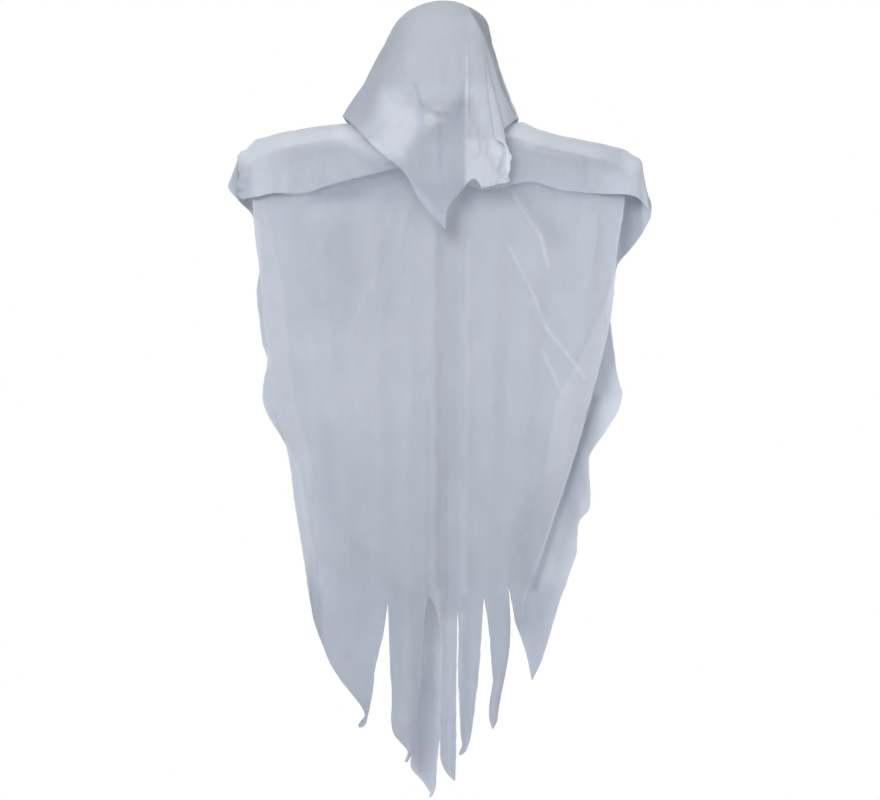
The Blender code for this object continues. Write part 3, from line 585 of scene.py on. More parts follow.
# Painted light and shade on the veil: light where the shoulders and pads lie behind it, shade at its
# tip and upper left, light on its right and on the bunch
VEIL_PAINTED_SHADING_PATCHES = (
    (((-0.135, 0.020), (-0.080, 0.020), (-0.040, 0.150), (-0.095, 0.150)), 0.034, -0.20),
    (
        ((-0.090, -0.014), (-0.048, -0.026), (-0.026, 0.016), (-0.026, 0.044), (-0.068, 0.056)),
        0.036, 0.50,
    ),
    (((-0.060, -0.026), (-0.047, -0.024), (-0.025, 0.018), (-0.056, 0.032)), 0.014, 0.26),
    (
        ((-0.040, -0.040), (0.006, -0.118), (0.0325, -0.100), (0.0325, 0.0185), (-0.022, 0.0185)),
        0.008, 0.05,
    ),
    (((-0.034, -0.056), (0.006, -0.122), (0.046, -0.056)), 0.020, -0.19),
    (((0.0325, -0.008), (0.088, -0.008), (0.072, 0.092), (0.0365, 0.156)), 0.007, 0.12),
    (((0.0325, -0.008), (0.088, -0.008), (0.078, 0.060), (0.0325, 0.070)), 0.030, 0.14),
    (((0.0325, -0.070), (0.090, -0.062), (0.090, -0.004), (0.0325, -0.004)), 0.010, 0.74),
)


def smooth_step(t):
    """0 below t = 0 and 1 above t = 1, and between them three t squared less two t cubed."""
    t = np.clip(t, 0.0, 1.0)
    return t * t * (3 - 2 * t)


def smooth_curve(points, base=NECK_HEIGHT):
    """A function of t, 0 to 1: a cubic through the points, with base added to the last number.

    The slope at a point comes from its neighbours, and t measures straight distances.
    """
    knots = np.array(points, dtype=float)
    knots[:, -1] += base
    lengths = np.linalg.norm(np.diff(knots, axis=0), axis=1)
    stations = np.concatenate([[0.0], np.cumsum(lengths)])
    stations /= stations[-1]
    slopes = np.gradient(knots, stations, axis=0)

    def point_at(t):
        """The cubic between the two nearest points that meets both their places and slopes."""
        t = np.asarray(t, dtype=float)
        i = np.clip(np.searchsorted(stations, t, side="right") - 1, 0, len(knots) - 2)
        span = (stations[i + 1] - stations[i])[..., None]
        q = (t - stations[i])[..., None] / span
        a = (2 * q**3 - 3 * q**2 + 1) * knots[i]
        b = (q**3 - 2 * q**2 + q) * span * slopes[i]
        c = (-2 * q**3 + 3 * q**2) * knots[i + 1]
        d = (q**3 - q**2) * span * slopes[i + 1]
        return a + b + c + d

    return point_at


ARM_SAMPLES = smooth_curve(ARM_ROUTE)(np.linspace(0, 1, 400))
ARM_LENGTHS = np.concatenate(
    [[0.0], np.cumsum(np.linalg.norm(np.diff(ARM_SAMPLES, axis=0), axis=1))]
)
ARM_LEFT_END = ARM_ROUTE[0][0]
ARM_RIGHT_END = ARM_ROUTE[-1][0]


def arm_height(x):
    """Height of the arm wire's axis at x, level beyond its ends."""
    return np.interp(x, ARM_SAMPLES[:, 0], ARM_SAMPLES[:, 1])


def arm_lift(x):
    """How much further above the sloping wire a layer lies than its own radius."""
    slopes = np.gradient(ARM_SAMPLES[:, 1], ARM_SAMPLES[:, 0])
    return np.sqrt(1 + np.interp(x, ARM_SAMPLES[:, 0], slopes) ** 2)


def layer_radius(x, radius):
    """Radius of the cloth round the arm axis: full along the pad, closing over its round end."""
    beyond = np.maximum(np.maximum(ARM_LEFT_END - x, x - ARM_RIGHT_END), 0.0)
    return np.sqrt(np.maximum(radius**2 - beyond**2, (0.25 * radius) ** 2))


def arm_top(x):
    """How much higher than a plain roll the back sheet lies on top of the arms."""
    return sum(rise * np.exp(-(((x - at_x) / width) ** 2)) for at_x, width, rise in ARM_TOP_SHAPES)


def ripples(x, z, seed, size, steepness, count=14):
    """Small irregular waves, size metres long, as a sum of sines of mixed direction.

    steepness 1 gives waves in every direction, and less gives mostly upright ones.
    """
    draw = np.random.default_rng(seed)
    total = np.zeros(np.broadcast(x, z).shape)
    for _ in range(count):
        wave = 2 * math.pi / (size * draw.uniform(0.6, 1.8))
        tilt = draw.normal(0.0, steepness)
        phase = draw.uniform(0, 2 * math.pi)
        total = total + np.sin(wave * (x * math.cos(tilt) + z * math.sin(tilt)) + phase)
    return total / math.sqrt(count)


def fold_height(x, z, folds):
    """How far the hanging folds stand out at (x, z): a sum of bell-shaped ridges."""
    drop = np.maximum(arm_height(x) - z, 0.0)
    down = np.clip(drop / -SLIT_LEVEL, 0.0, FOLD_LOWEST)
    height = np.zeros_like(drop)
    for at_arms, at_slits, width, depth in folds:
        centre = at_arms + (at_slits - at_arms) * down
        height = height + depth * np.exp(-(((x - centre) / width) ** 2))
    return height * (1 - np.exp(-drop / FOLD_GROWTH))


def crease_height(x, z, creases):
    """Sharp creases that fade towards both their ends.

    Each is steep on its one side, within its width, and falls off slowly on the other. The
    slow side lies on the right of the way down for a positive width, and on the left for a
    negative one.
    """
    height = np.zeros(np.broadcast(x, z).shape)
    for start, end, width, depth in creases:
        along = (end[0] - start[0], end[1] - start[1])
        length = math.hypot(*along)
        dx = x - start[0]
        dz = z - NECK_HEIGHT - start[1]
        t = (dx * along[0] + dz * along[1]) / length**2
        beyond = (t - np.clip(t, 0.0, 1.0)) * length
        side = (dx * -along[1] + dz * along[0]) / length * math.copysign(1.0, width)
        steep = abs(width)
        away = np.where(side > 0, side / (5 * steep), -side / steep)
        fade = np.sin(math.pi * np.clip(t, 0.0, 1.0)) ** 0.6 * np.exp(-((beyond / steep) ** 2))
        height = height + depth * np.exp(-away) * fade
    return height


def stand_off(x, z, radius, folds, creases, seed):
    """How far a hanging panel stands off the arm axis at (x, z).

    It is the radius of the cloth round the arm, plus a spread that grows evenly with the drop,
    plus the folds, the creases and the small ripples, which grow with the drop and level off.
    """
    drop = np.maximum(arm_height(x) - z, 0.0)
    spread = PANEL_SPREAD * np.minimum(drop / SPREAD_LENGTH, 1.0)
    loose = 1 - np.exp(-drop / RIPPLE_GROWTH)
    fine = sum(
        amount * ripples(x, z, seed + step, size, steepness)
        for amount, step, size, steepness in PANEL_RIPPLES
    )
    return (
        layer_radius(x, radius)
        + spread
        + fold_height(x, z, folds)
        + crease_height(x, z, creases)
        + fine * loose
    )


def edge_at(outline, heights):
    """x of a side edge at each height, smooth through the outline's points."""
    samples = smooth_curve(outline)(np.linspace(0, 1, 300))
    return np.interp(-heights, -samples[:, 1], samples[:, 0])


def slit_line(strips):
    """Points of the line through the slits' tops, one for each fine column."""
    pieces = []
    for left, right, _, _, columns in strips:
        across = np.linspace(0, 1, columns * FINE + 1)[:, None]
        pieces.append(((1 - across) * np.array(left[0]) + across * np.array(right[0]))[:-1])
    pieces.append(np.array([strips[-1][1][0]]))
    return np.vstack(pieces) + np.array([0.0, NECK_HEIGHT])


def spread_columns(left, right, count):
    """Column places along the arms, closer together at both ends."""
    even = np.linspace(0, 1, count)
    share = even - EDGE_CROWDING * np.sin(2 * math.pi * even) / (2 * math.pi)
    return left + (right - left) * share


def panel_places(arm_x, slits, left_outline, right_outline, start_drop):
    """x and z of a panel from below the arms to the slits, as rows of columns."""
    down = np.linspace(0, 1, PANEL_ROWS + 1)[:, None]
    top = arm_height(arm_x) - start_drop
    z = (1 - down) * top + down * slits[:, 1]
    share_top = (arm_x - arm_x[0]) / (arm_x[-1] - arm_x[0])
    share_low = (slits[:, 0] - slits[0, 0]) / (slits[-1, 0] - slits[0, 0])
    share = (1 - down) * share_top + down * share_low
    x = (1 - share) * edge_at(left_outline, z[:, :1]) + share * edge_at(right_outline, z[:, -1:])
    stray = [
        EDGE_STRAY * ripples(z_edge, 0.0, seed, SIDE_STRAY_SIZE, STRAY_STEEPNESS)
        * np.exp(-inwards / SIDE_STRAY_REACH)
        for z_edge, seed, inwards in (
            (z[:, :1], SIDE_STRAY_SEEDS[0], x - x[:, :1]),
            (z[:, -1:], SIDE_STRAY_SEEDS[1], x[:, -1:] - x),
        )
    ]
    x = x + stray[0] + stray[1]
    x[-1] = slits[:, 0]
    return x, z


class Sheet:
    """Gathers grids of points into one sheet of cloth with its own cloth coordinates."""

    def __init__(self):
        self.points = []
        self.cloth = []
        self.quads = []
        self.triangles = np.zeros((0, 3), dtype=int)
        self.folds = []
        self.count = 0

    def add(self, points, cloth):
        """Takes in a grid of points with their cloth coordinates, and returns their numbers."""
        index = np.arange(self.count, self.count + points[..., 0].size).reshape(points.shape[:2])
        self.points.append(points.reshape(-1, 3))
        self.cloth.append(cloth.reshape(-1, 2))
        self.count += index.size
        return index

    def skin(self, index, keep=None):
        """Spans quads between neighbours of a grid of point numbers, all or those to keep."""
        quads = np.stack([index[:-1, :-1], index[1:, :-1], index[1:, 1:], index[:-1, 1:]], axis=-1)
        if keep is not None:
            quads = quads[keep]
        self.quads.append(quads.reshape(-1, 4))

    def fan(self, centre, ring):
        """Closes a ring of points onto one centre point."""
        self.triangles = np.stack([np.full(len(ring) - 1, centre), ring[:-1], ring[1:]], axis=-1)

    def finish(self, name, material, cover, tone_and_painted_shade):
        """Makes the cloth object. Its two functions give the density and the lightness at its points;
        the lightness holds painted light and shade.
        """
        points = np.vstack(self.points)
        cloth = np.vstack(self.cloth)
        quads = np.vstack(self.quads)
        used = np.unique(np.concatenate([quads.ravel(), self.triangles.ravel()]))
        renumber = np.zeros(len(points), dtype=int)
        renumber[used] = np.arange(len(used))
        points = points[used]
        piece = mesh_object(name, points, (renumber[quads], renumber[self.triangles]), material)
        add_uv(piece, "cloth", cloth[used])
        add_values(piece, "cover", cover(points))
        add_values(piece, "tone_and_painted_shade", tone_and_painted_shade(points))
        if self.folds:
            self.press_folds(piece.data, renumber, len(points))
        wall = piece.modifiers.new("cloth_thickness", "SOLIDIFY")
        wall.thickness = CLOTH_THICKNESS
        wall.offset = 0
        return piece

    def press_folds(self, mesh, renumber, count):
        """Makes the edges sharp along which the cloth is folded flat."""
        on_fold = np.zeros(count, dtype=bool)
        on_fold[renumber[np.concatenate(self.folds)]] = True
        ends = np.zeros(2 * len(mesh.edges), dtype=np.int32)
        mesh.edges.foreach_get("vertices", ends)
        layer = mesh.attributes.new("sharp_edge", "BOOLEAN", "EDGE")
        layer.data.foreach_set("value", on_fold[ends.reshape(-1, 2)].all(axis=1))


def mesh_object(name, points, groups, material):
    """A smooth-shaded mesh object from points and from one array of faces per corner count."""
    mesh = bpy.data.meshes.new(name)
    groups = [group for group in groups if len(group)]
    corners = np.concatenate([np.full(len(group), group.shape[1]) for group in groups])
    indices = np.concatenate([group.ravel() for group in groups])
    starts = np.concatenate([[0], np.cumsum(corners)[:-1]])
    mesh.vertices.add(len(points))
    mesh.vertices.foreach_set("co", np.ascontiguousarray(points, dtype=np.float32).ravel())
    mesh.loops.add(len(indices))
    mesh.loops.foreach_set("vertex_index", indices.astype(np.int32))
    mesh.polygons.add(len(corners))
    mesh.polygons.foreach_set("loop_start", starts.astype(np.int32))
    mesh.update(calc_edges=True)
    mesh.validate()
    mesh.shade_smooth()
    mesh.materials.append(material)
    piece = bpy.data.objects.new(name, mesh)
    bpy.context.scene.collection.objects.link(piece)
    return piece


def add_uv(piece, name, places):
    """Writes cloth coordinates, one pair for each point, as a UV layer."""
    mesh = piece.data
    layer = mesh.uv_layers.new(name=name)
    loops = np.zeros(len(mesh.loops), dtype=np.int32)
    mesh.loops.foreach_get("vertex_index", loops)
    layer.data.foreach_set("uv", places[loops].astype(np.float32).ravel())


def add_values(piece, name, values):
    """Writes one number for each point as an attribute that the materials read."""
    layer = piece.data.attributes.new(name, "FLOAT", "POINT")
    layer.data.foreach_set("value", np.asarray(values, dtype=np.float32).ravel())


def frayed(heights, seed, left_edge, right_edge):
    """How far a cut edge strays from its line, less where a strip is narrow."""
    room = np.clip((right_edge[:, 0] - left_edge[:, 0]) / STRIP_STRAY_ROOM, 0.0, 1.0)
    return EDGE_STRAY * room * ripples(heights, 0.0, seed, STRIP_STRAY_SIZE, STRAY_STEEPNESS)


def add_strips(sheet, last_row, last_cloth, strips, side, radius, folds, creases, seed):
    """Hangs the hem strips on a sheet's last row.

    A point of a strip lies at its share across between the left and the right edge curve. Its
    depth is that of the panel, plus the lean, plus the curl times the distance from the middle
    squared, plus a swing that is a sine of the way down.
    """
    first = 0
    for number, (left, right, lean, curl, columns) in enumerate(strips):
        count = columns * FINE
        above = last_row[first:first + count + 1]
        cloth_above = last_cloth[first:first + count + 1]
        first += count
        down = (np.arange(1, STRIP_ROWS + 1) / STRIP_ROWS)[:, None]
        down = 1 - (1 - down) ** STRIP_ROW_POWER
        across = np.linspace(0, 1, count + 1)
        reach = np.minimum(down, STRIP_TIP_SHARE)
        left_edge = smooth_curve(left)(reach[:, 0])
        right_edge = smooth_curve(right)(reach[:, 0])
        left_edge[:, 0] += frayed(left_edge[:, 1], seed + 3 * number, left_edge, right_edge)
        right_edge[:, 0] += frayed(right_edge[:, 1], seed + 3 * number + 1, left_edge, right_edge)
        left_edge = left_edge[:, None, :]
        right_edge = right_edge[:, None, :]
        flat = (1 - across[None, :, None]) * left_edge + across[None, :, None] * right_edge
        x = flat[..., 0]
        z = flat[..., 1]
        y = stand_off(x, z, radius, folds, creases, seed)
        bend = 2 * across - 1
        swing = STRIP_SWING * np.sin(STRIP_SWING_TURN * down + number * STRIP_SWING_STEP) * down
        room = np.clip((right_edge - left_edge)[..., 0] / STRIP_CURL_ROOM, 0.0, 1.0)
        y = y + lean * down + (STRIP_CURL_GAIN * curl * down * bend**2 + swing * bend) * room
        points = np.stack([x, ARM_DEPTH + side * y, z], axis=-1)
        run = down * np.linalg.norm(np.array(left[-1]) - np.array(left[0]))
        cloth = np.stack([
            cloth_above[:, 0] + 0 * down,
            cloth_above[:, 1] - run,
        ], axis=-1)
        index = sheet.add(points, cloth)
        sheet.skin(np.vstack([above, index]))


def cloth_coordinates(x, path):
    """Cloth coordinates: the width along the arms, and the drop along the cloth, in metres."""
    return np.stack([np.broadcast_to(x, path.shape), -path], axis=-1)


def robe_front(material):
    """The front panel: wrapped over the pads, low at the neck, its margins turned back.

    Round the pads it is a part of a circle about the arm wire, so its depth and height are the
    radius times the cosine and sine of the angle. Below, its depth is the panel's stand off.
    """
    slits = slit_line(FRONT_STRIPS)
    arm_x = spread_columns(FRONT_LEFT_EDGE[0][0], FRONT_RIGHT_EDGE[0][0], len(slits))
    radius = FRONT_LAYER_RADIUS
    neck = np.exp(-((arm_x / FRONT_NECK_HALF_WIDTH) ** 4))
    start = -FRONT_WRAP * radius * (1 - neck) + FRONT_NECK_DROP * neck
    arc_end = (FRONT_NECK_DROP + NECKLINE_BAND) * neck
    over = np.arange(WRAP_ROWS)[:, None] / WRAP_ROWS
    below = np.arange(BAND_ROWS)[:, None] / BAND_ROWS
    path = np.vstack([start + (arc_end - start) * over, arc_end + (WRAP_DROP - arc_end) * below])
    angle = np.minimum(path, 0.0) / radius
    z_wrap = arm_height(arm_x) - radius * arm_lift(arm_x) * np.sin(angle) - np.maximum(path, 0.0)
    x_wrap = np.broadcast_to(arm_x, path.shape)
    hang = stand_off(x_wrap, z_wrap, radius, FRONT_FOLDS, FRONT_CREASES, FRONT_SEED)
    y_wrap = np.where(path > 0, hang, radius * np.cos(angle))
    x, z = panel_places(arm_x, slits, FRONT_LEFT_EDGE, FRONT_RIGHT_EDGE, WRAP_DROP)
    y = stand_off(x, z, radius, FRONT_FOLDS, FRONT_CREASES, FRONT_SEED)
    rows_x = np.vstack([x_wrap, x])
    rows_y = np.vstack([y_wrap, y])
    rows_z = np.vstack([z_wrap, z])
    points = np.stack([rows_x, ARM_DEPTH - rows_y, rows_z], axis=-1)
    panel_path = WRAP_DROP + (arm_height(arm_x) - WRAP_DROP - z)
    cloth = cloth_coordinates(arm_x, np.vstack([path, panel_path]))
    sheet = Sheet()
    index = sheet.add(points, cloth)
    sheet.skin(index)
    add_strips(
        sheet, index[-1], cloth[-1], FRONT_STRIPS, FRONT, radius, FRONT_FOLDS, FRONT_CREASES, FRONT_SEED
    )
    for column, margin, inwards in ((0, LEFT_MARGIN, 1), (-1, RIGHT_MARGIN, -1)):
        add_margin(sheet, index, points, cloth, column, margin, inwards)
    return sheet.finish("robe_front_cloth", material, front_cover, front_tone_and_painted_shade)


def add_margin(sheet, index, points, cloth, column, margin, inwards):
    """Turns a side margin back behind the panel, as wide as the margin's list says.

    It lies behind the panel by the gap times one less the fourth power of the share left to go.
    """
    heights = np.array([m[0] for m in margin]) + NECK_HEIGHT
    widths = np.array([m[1] for m in margin])
    edge = points[WRAP_ROWS + BAND_ROWS:, column]
    width = np.interp(-edge[:, 2], -heights, widths, left=0.0, right=0.0)
    rows = np.flatnonzero(width > MARGIN_LEAST)
    first, last = rows[0], rows[-1]
    edge = edge[first:last + 1]
    width = width[first:last + 1, None]
    across = (np.arange(1, MARGIN_COLUMNS + 1) / MARGIN_COLUMNS)[None, :]
    x = edge[:, :1] + inwards * width * across
    z = np.broadcast_to(edge[:, 2:], x.shape)
    behind = MARGIN_GAP * np.minimum(width / MARGIN_ROUNDING, 1.0)
    depth = stand_off(x, z, FRONT_LAYER_RADIUS, FRONT_FOLDS, FRONT_CREASES, FRONT_SEED)
    y = ARM_DEPTH - depth + behind * (1 - (1 - across) ** 4)
    base = cloth[WRAP_ROWS + BAND_ROWS:, column][first:last + 1]
    turned = np.stack([
        base[:, :1] - inwards * width * across,
        np.broadcast_to(base[:, 1:], x.shape),
    ], axis=-1)
    margin_index = sheet.add(np.stack([x, y, z], axis=-1), turned)
    shared = index[WRAP_ROWS + BAND_ROWS:, column][first:last + 1, None]
    sheet.folds.append(shared.ravel())
    grid = np.hstack([shared, margin_index])
    if inwards > 0:
        grid = grid[:, ::-1]
    sheet.skin(grid)


def robe_back(material):
    """The back sheet: two flaps in front, folded over the pads, and the long drop behind.

    The flaps run straight from hem to arm, the arc over the pads is half a circle about the
    arm wire, and the drop behind is the panel's stand off. The left end of the flaps crumples.
    """
    slits = slit_line(BACK_STRIPS)
    arm_x = spread_columns(BACK_LEFT_EDGE[0][0], BACK_RIGHT_EDGE[0][0], len(slits))
    radius = BACK_LAYER_RADIUS
    hem = smooth_curve(FLAP_HEM)(np.linspace(0, 1, 400))
    share = (arm_x - arm_x[0]) / (arm_x[-1] - arm_x[0])
    hem_x = FLAP_HEM[0][0] + (FLAP_HEM[-1][0] - FLAP_HEM[0][0]) * share
    hem_z = np.interp(hem_x, hem[:, 0], hem[:, 1])
    up = np.arange(FLAP_ROWS)[:, None] / FLAP_ROWS
    z_flap = (1 - up) * hem_z + up * arm_height(arm_x)
    x_flap = (1 - up) * hem_x + up * arm_x
    y_flap = -stand_off(x_flap, z_flap, radius, FRONT_FOLDS, FRONT_CREASES, FRONT_SEED)
    rippled = 1 + ripples(x_flap, z_flap, FLAP_SEED, 0.05, 0.5)
    y_flap = y_flap - FLAP_FLARE * (1 - up) - FLAP_RIPPLE * (1 - up) * rippled
    crumpled = smooth_step((CRUMPLED_FROM - x_flap) / CRUMPLED_WIDTH)
    crumpled = crumpled * smooth_step((1 - up) * CRUMPLED_GROWTH)
    x_flap = x_flap + 0.0017 * crumpled * ripples(z_flap, x_flap, 81, 0.016, 0.5)
    y_flap = y_flap - 0.0018 * crumpled * ripples(z_flap, x_flap, 82, 0.018, 0.8)
    z_flap = z_flap + 0.0010 * crumpled * ripples(x_flap, z_flap, 83, 0.014, 0.5)
    flap_path = -(arm_height(arm_x) - z_flap) - radius * math.pi / 2
    angles = np.linspace(math.pi / 2, -math.pi / 2, ARC_ROWS + 1)[:, None]
    local = layer_radius(arm_x, radius)
    z_arc = arm_height(arm_x) + (local * arm_lift(arm_x) + arm_top(arm_x)) * np.cos(angles)
    y_arc = -local * np.sin(angles)
    x_arc = np.broadcast_to(arm_x, z_arc.shape)
    arc_path = -angles * radius + 0 * arm_x
    x, z = panel_places(arm_x, slits, BACK_LEFT_EDGE, BACK_RIGHT_EDGE, WRAP_DROP)
    y = stand_off(x, z, radius, BACK_FOLDS, BACK_CREASES, BACK_SEED)
    bridge = (np.arange(1, BRIDGE_ROWS) / BRIDGE_ROWS)[:, None]
    x_bridge = (1 - bridge) * arm_x + bridge * x[:1]
    z_bridge = arm_height(arm_x) - WRAP_DROP * bridge
    y_bridge = stand_off(x_bridge, z_bridge, radius, BACK_FOLDS, BACK_CREASES, BACK_SEED)
    rows_x = np.vstack([x_flap, x_arc, x_bridge, x])
    rows_y = np.vstack([y_flap, y_arc, y_bridge, y])
    rows_z = np.vstack([z_flap, z_arc, z_bridge, z])
    drop_path = radius * math.pi / 2 + np.vstack([
        WRAP_DROP * bridge + 0 * arm_x, arm_height(arm_x) - z
    ])
    points = np.stack([rows_x, ARM_DEPTH + rows_y, rows_z], axis=-1)
    cloth = cloth_coordinates(arm_x, np.vstack([flap_path, arc_path, drop_path]))
    keep = np.ones((len(rows_x) - 1, len(arm_x) - 1), dtype=bool)
    at_neck = np.abs((arm_x[1:] + arm_x[:-1]) / 2) < NECK_NOTCH_HALF_WIDTH
    last_cut = FLAP_ROWS + int(np.sum(angles > NECK_NOTCH_BACK_ANGLE))
    keep[:last_cut, at_neck] = False
    sheet = Sheet()
    index = sheet.add(points, cloth)
    sheet.skin(index, keep)
    add_strips(
        sheet, index[-1], cloth[-1], BACK_STRIPS, BACK, radius, BACK_FOLDS, BACK_CREASES, BACK_SEED
    )
    return sheet.finish("robe_back_cloth", material, back_cover, back_tone_and_painted_shade)


def rounded(values, spread):
    """Values round a ring, smoothed over a number of neighbours."""
    reach = np.arange(-3 * spread, 3 * spread + 1)
    weights = np.exp(-((reach / spread) ** 2) / 2)
    weights /= weights.sum()
    wrapped = np.concatenate([values[-3 * spread:], values, values[:3 * spread]])
    return np.convolve(wrapped, weights, mode="valid")


def veil_crown_bumps(x, h):
    """The crown is fuller at the right, where its stiff cloth bridges over, than at the left."""
    total = np.zeros(np.shape(x))
    for at_x, at_h, width, amount in VEIL_CROWN_BUMPS:
        total = total + amount * np.exp(-(((x - at_x) ** 2 + (h - at_h) ** 2) / width**2))
    return total


def crown_lift(x, z):
    """How much higher the stiff cloth stands over the crown, right of the middle."""
    at_x, width, amount = VEIL_CROWN_LIFT
    on_top = smooth_step((z - NECK_HEIGHT - 0.09) / 0.06)
    return amount * np.exp(-(((x - at_x) / width) ** 2)) * on_top


def veil_wrinkles(x, z, in_front, share):
    """How far the veil stands out beyond its plain form: ridges, ripples and crumples."""
    h = z - NECK_HEIGHT
    loose = smooth_step((share - VEIL_LOOSE_FROM) / VEIL_LOOSE_OVER)
    height = veil_crown_bumps(x, h)
    height = height + VEIL_COARSE_RIPPLE * loose * (1 + 0.6 * ripples(x, z, 91, 0.045, 0.5))
    height = height + VEIL_FINE_RIPPLE * loose * (1 + ripples(x, z, 92, 0.014, 0.8))
    for start, end, width, depth in VEIL_CREASES:
        t, away = along_line(x, h, start, end)
        fade = np.sin(math.pi * (0.08 + 0.84 * t))
        height = height + in_front * depth * np.exp(-away / width) * fade
    bunch = smooth_step((x - 0.030) / 0.010) * smooth_step((0.004 - h) / 0.02) * in_front
    crumples = BUNCH_COARSE * ripples(x, z, 93, 0.020, 1.2) + BUNCH_FINE * ripples(x, z, 94, 0.009, 1.2)
    return height + bunch * crumples


def veil(material):
    """The veil: a dome over the head that opens like a tent to its hem, with a pleat.

    One parameter goes round the hem and the other down from the crown. A point's distance from
    the middle is that of the crown's round dome at its depth, plus a flare that grows with a
    power of the depth, plus what the hem still asks for, the pleat, the folds and wrinkles.
    """
    hem = np.vstack([
        smooth_curve(points)(np.linspace(0, 1, columns * VEIL_FINE, endpoint=False))
        for points, columns in VEIL_HEM
    ])
    ends = np.cumsum([columns * VEIL_FINE for _, columns in VEIL_HEM])
    count = ends[-1]
    reach = np.hypot(hem[:, 0], hem[:, 1])
    hem_bearing = np.unwrap(np.arctan2(hem[:, 0], -hem[:, 1]))
    even_bearing = hem_bearing[0] - 2 * math.pi * np.arange(count) / count
    crown_radius = HEAD_WIDTH / 2
    back, middle, front = (ends[i] - VEIL_HEM[i][1] * VEIL_FINE / 2 for i in PLEAT_STRETCHES)
    layer = np.interp(
        np.arange(count),
        (ends[PLEAT_STRETCHES[0] - 1], back, middle, front, count),
        (0.0, -1.0, 0.0, 1.0, 0.0),
    )

    def crown_reach(depth):
        """Distance of a round dome from the middle: the root of radius squared less rise squared."""
        capped = np.minimum(depth, crown_radius)
        return VEIL_CROWN_WIDENING * np.sqrt(crown_radius**2 - (crown_radius - capped) ** 2)

    share = (np.arange(1, VEIL_ROWS + 1) / VEIL_ROWS)[:, None]
    down = share**VEIL_ROW_POWER
    near_hem = smooth_step((share - 0.55) / 0.45)
    fall = CROWN_HEIGHT - hem[:, 2]
    from_tip = np.minimum(np.arange(count), count - np.arange(count))
    beside_tip = np.exp(-((from_tip / VEIL_TIP_SPREAD) ** 2))

    def level_at_tip(values):
        """Values round the hem, drawn to the tip's own value by a bell curve beside the tip."""
        return values + (values[0] - values) * beside_tip

    even_fall = level_at_tip(rounded(fall, 26))
    depth = ((1 - near_hem) * rounded(fall, 9) + near_hem * fall) * down
    opened = smooth_step(share / PLEAT_OPENS)
    turned = hem_bearing - even_bearing
    turned = (1 - near_hem) * rounded(turned, 9) + near_hem * turned
    bearing = even_bearing + opened * turned
    even_flare = rounded((reach - crown_reach(fall)) * (even_fall / fall) ** VEIL_FLARE_POWER, 14)
    even_flare = level_at_tip(even_flare)

    def plain_reach(depth):
        """The dome's reach plus the flare, which grows with a power of the share of the fall."""
        return crown_reach(depth) + even_flare * np.minimum(depth / even_fall, 1.3) ** VEIL_FLARE_POWER

    def lower_part(depth):
        """0 in the upper quarter of the fall, rising softly to 1 at the hem."""
        return smooth_step((depth / even_fall - 0.25) / 0.75)

    left_over = (reach - plain_reach(fall)) / lower_part(fall)
    at_tip = smooth_step((np.cos(hem_bearing) - 0.80) / 0.15) * (np.arange(count) < count / 2)
    at_tip = rounded(np.maximum(at_tip, np.arange(count) > ends[-2]), 4)
    left_over = left_over + (rounded(left_over, 9) - left_over) * at_tip
    left_over = level_at_tip(left_over)
    ring_reach = plain_reach(depth) + left_over * lower_part(depth)
    ring_reach = ring_reach + PLEAT_GAP * layer * opened
    ring_reach = ring_reach + VEIL_FOLD_DEPTH * lower_part(depth) * np.cos(VEIL_FOLDS * bearing)
    z = CROWN_HEIGHT - depth
    ring_reach = ring_reach + veil_wrinkles(np.sin(bearing) * ring_reach, z, np.cos(bearing) > 0, share)
    x = np.sin(bearing) * ring_reach
    y = -np.cos(bearing) * ring_reach
    flat = np.stack([x, y, z + crown_lift(x, z)], axis=-1)
    run = VEIL_CLOTH_STRETCH * depth[..., None] + VEIL_CLOTH_REST * smooth_step(share)[..., None]
    cloth = np.stack([np.sin(even_bearing), np.cos(even_bearing)], axis=-1)[None] * run
    sheet = Sheet()
    pole_height = CROWN_HEIGHT + crown_lift(0.0, CROWN_HEIGHT)
    pole = sheet.add(np.array([[[0.0, 0.0, pole_height]]]), np.zeros((1, 1, 2)))
    index = sheet.add(flat, cloth)
    ring = np.hstack([index, index[:, :1]])
    sheet.skin(ring)
    sheet.fan(pole[0, 0], ring[0])
    return sheet.finish("head_veil_cloth", material, veil_cover, veil_tone_and_painted_shade)


def along_line(x, h, start, end):
    """Where (x, h) lies against a line: share along it, and distance from it."""
    along = (end[0] - start[0], end[1] - start[1])
    length = math.hypot(*along)
    t = np.clip(((x - start[0]) * along[0] + (h - start[1]) * along[1]) / length**2, 0.0, 1.0)
    away = np.hypot(x - start[0] - t * along[0], h - start[1] - t * along[1])
    return t, away


def stroked(x, h, strokes):
    """Sum of soft lines, each with from, to, width and amount: painted highlights and shade lines in
    the lightness, or denser cloth in the density.
    """
    total = np.zeros(np.shape(x))
    for start, end, width, amount in strokes:
        _, away = along_line(x, h, start, end)
        total = total + amount * np.exp(-((away / width) ** 2))
    return total


def patched(x, h, patches):
    """Sum of soft-edged patches. Each is a convex outline turning left, edge softness, amount."""
    total = np.zeros(np.shape(x))
    for outline, soft, amount in patches:
        inside = np.full(np.shape(x), np.inf)
        for a, b in zip(outline, outline[1:] + outline[:1]):
            side = (b[0] - a[0]) * (h - a[1]) - (b[1] - a[1]) * (x - a[0])
            inside = np.minimum(inside, side / math.hypot(b[0] - a[0], b[1] - a[1]))
        total = total + amount * smooth_step(inside / soft + 0.5)
    return total


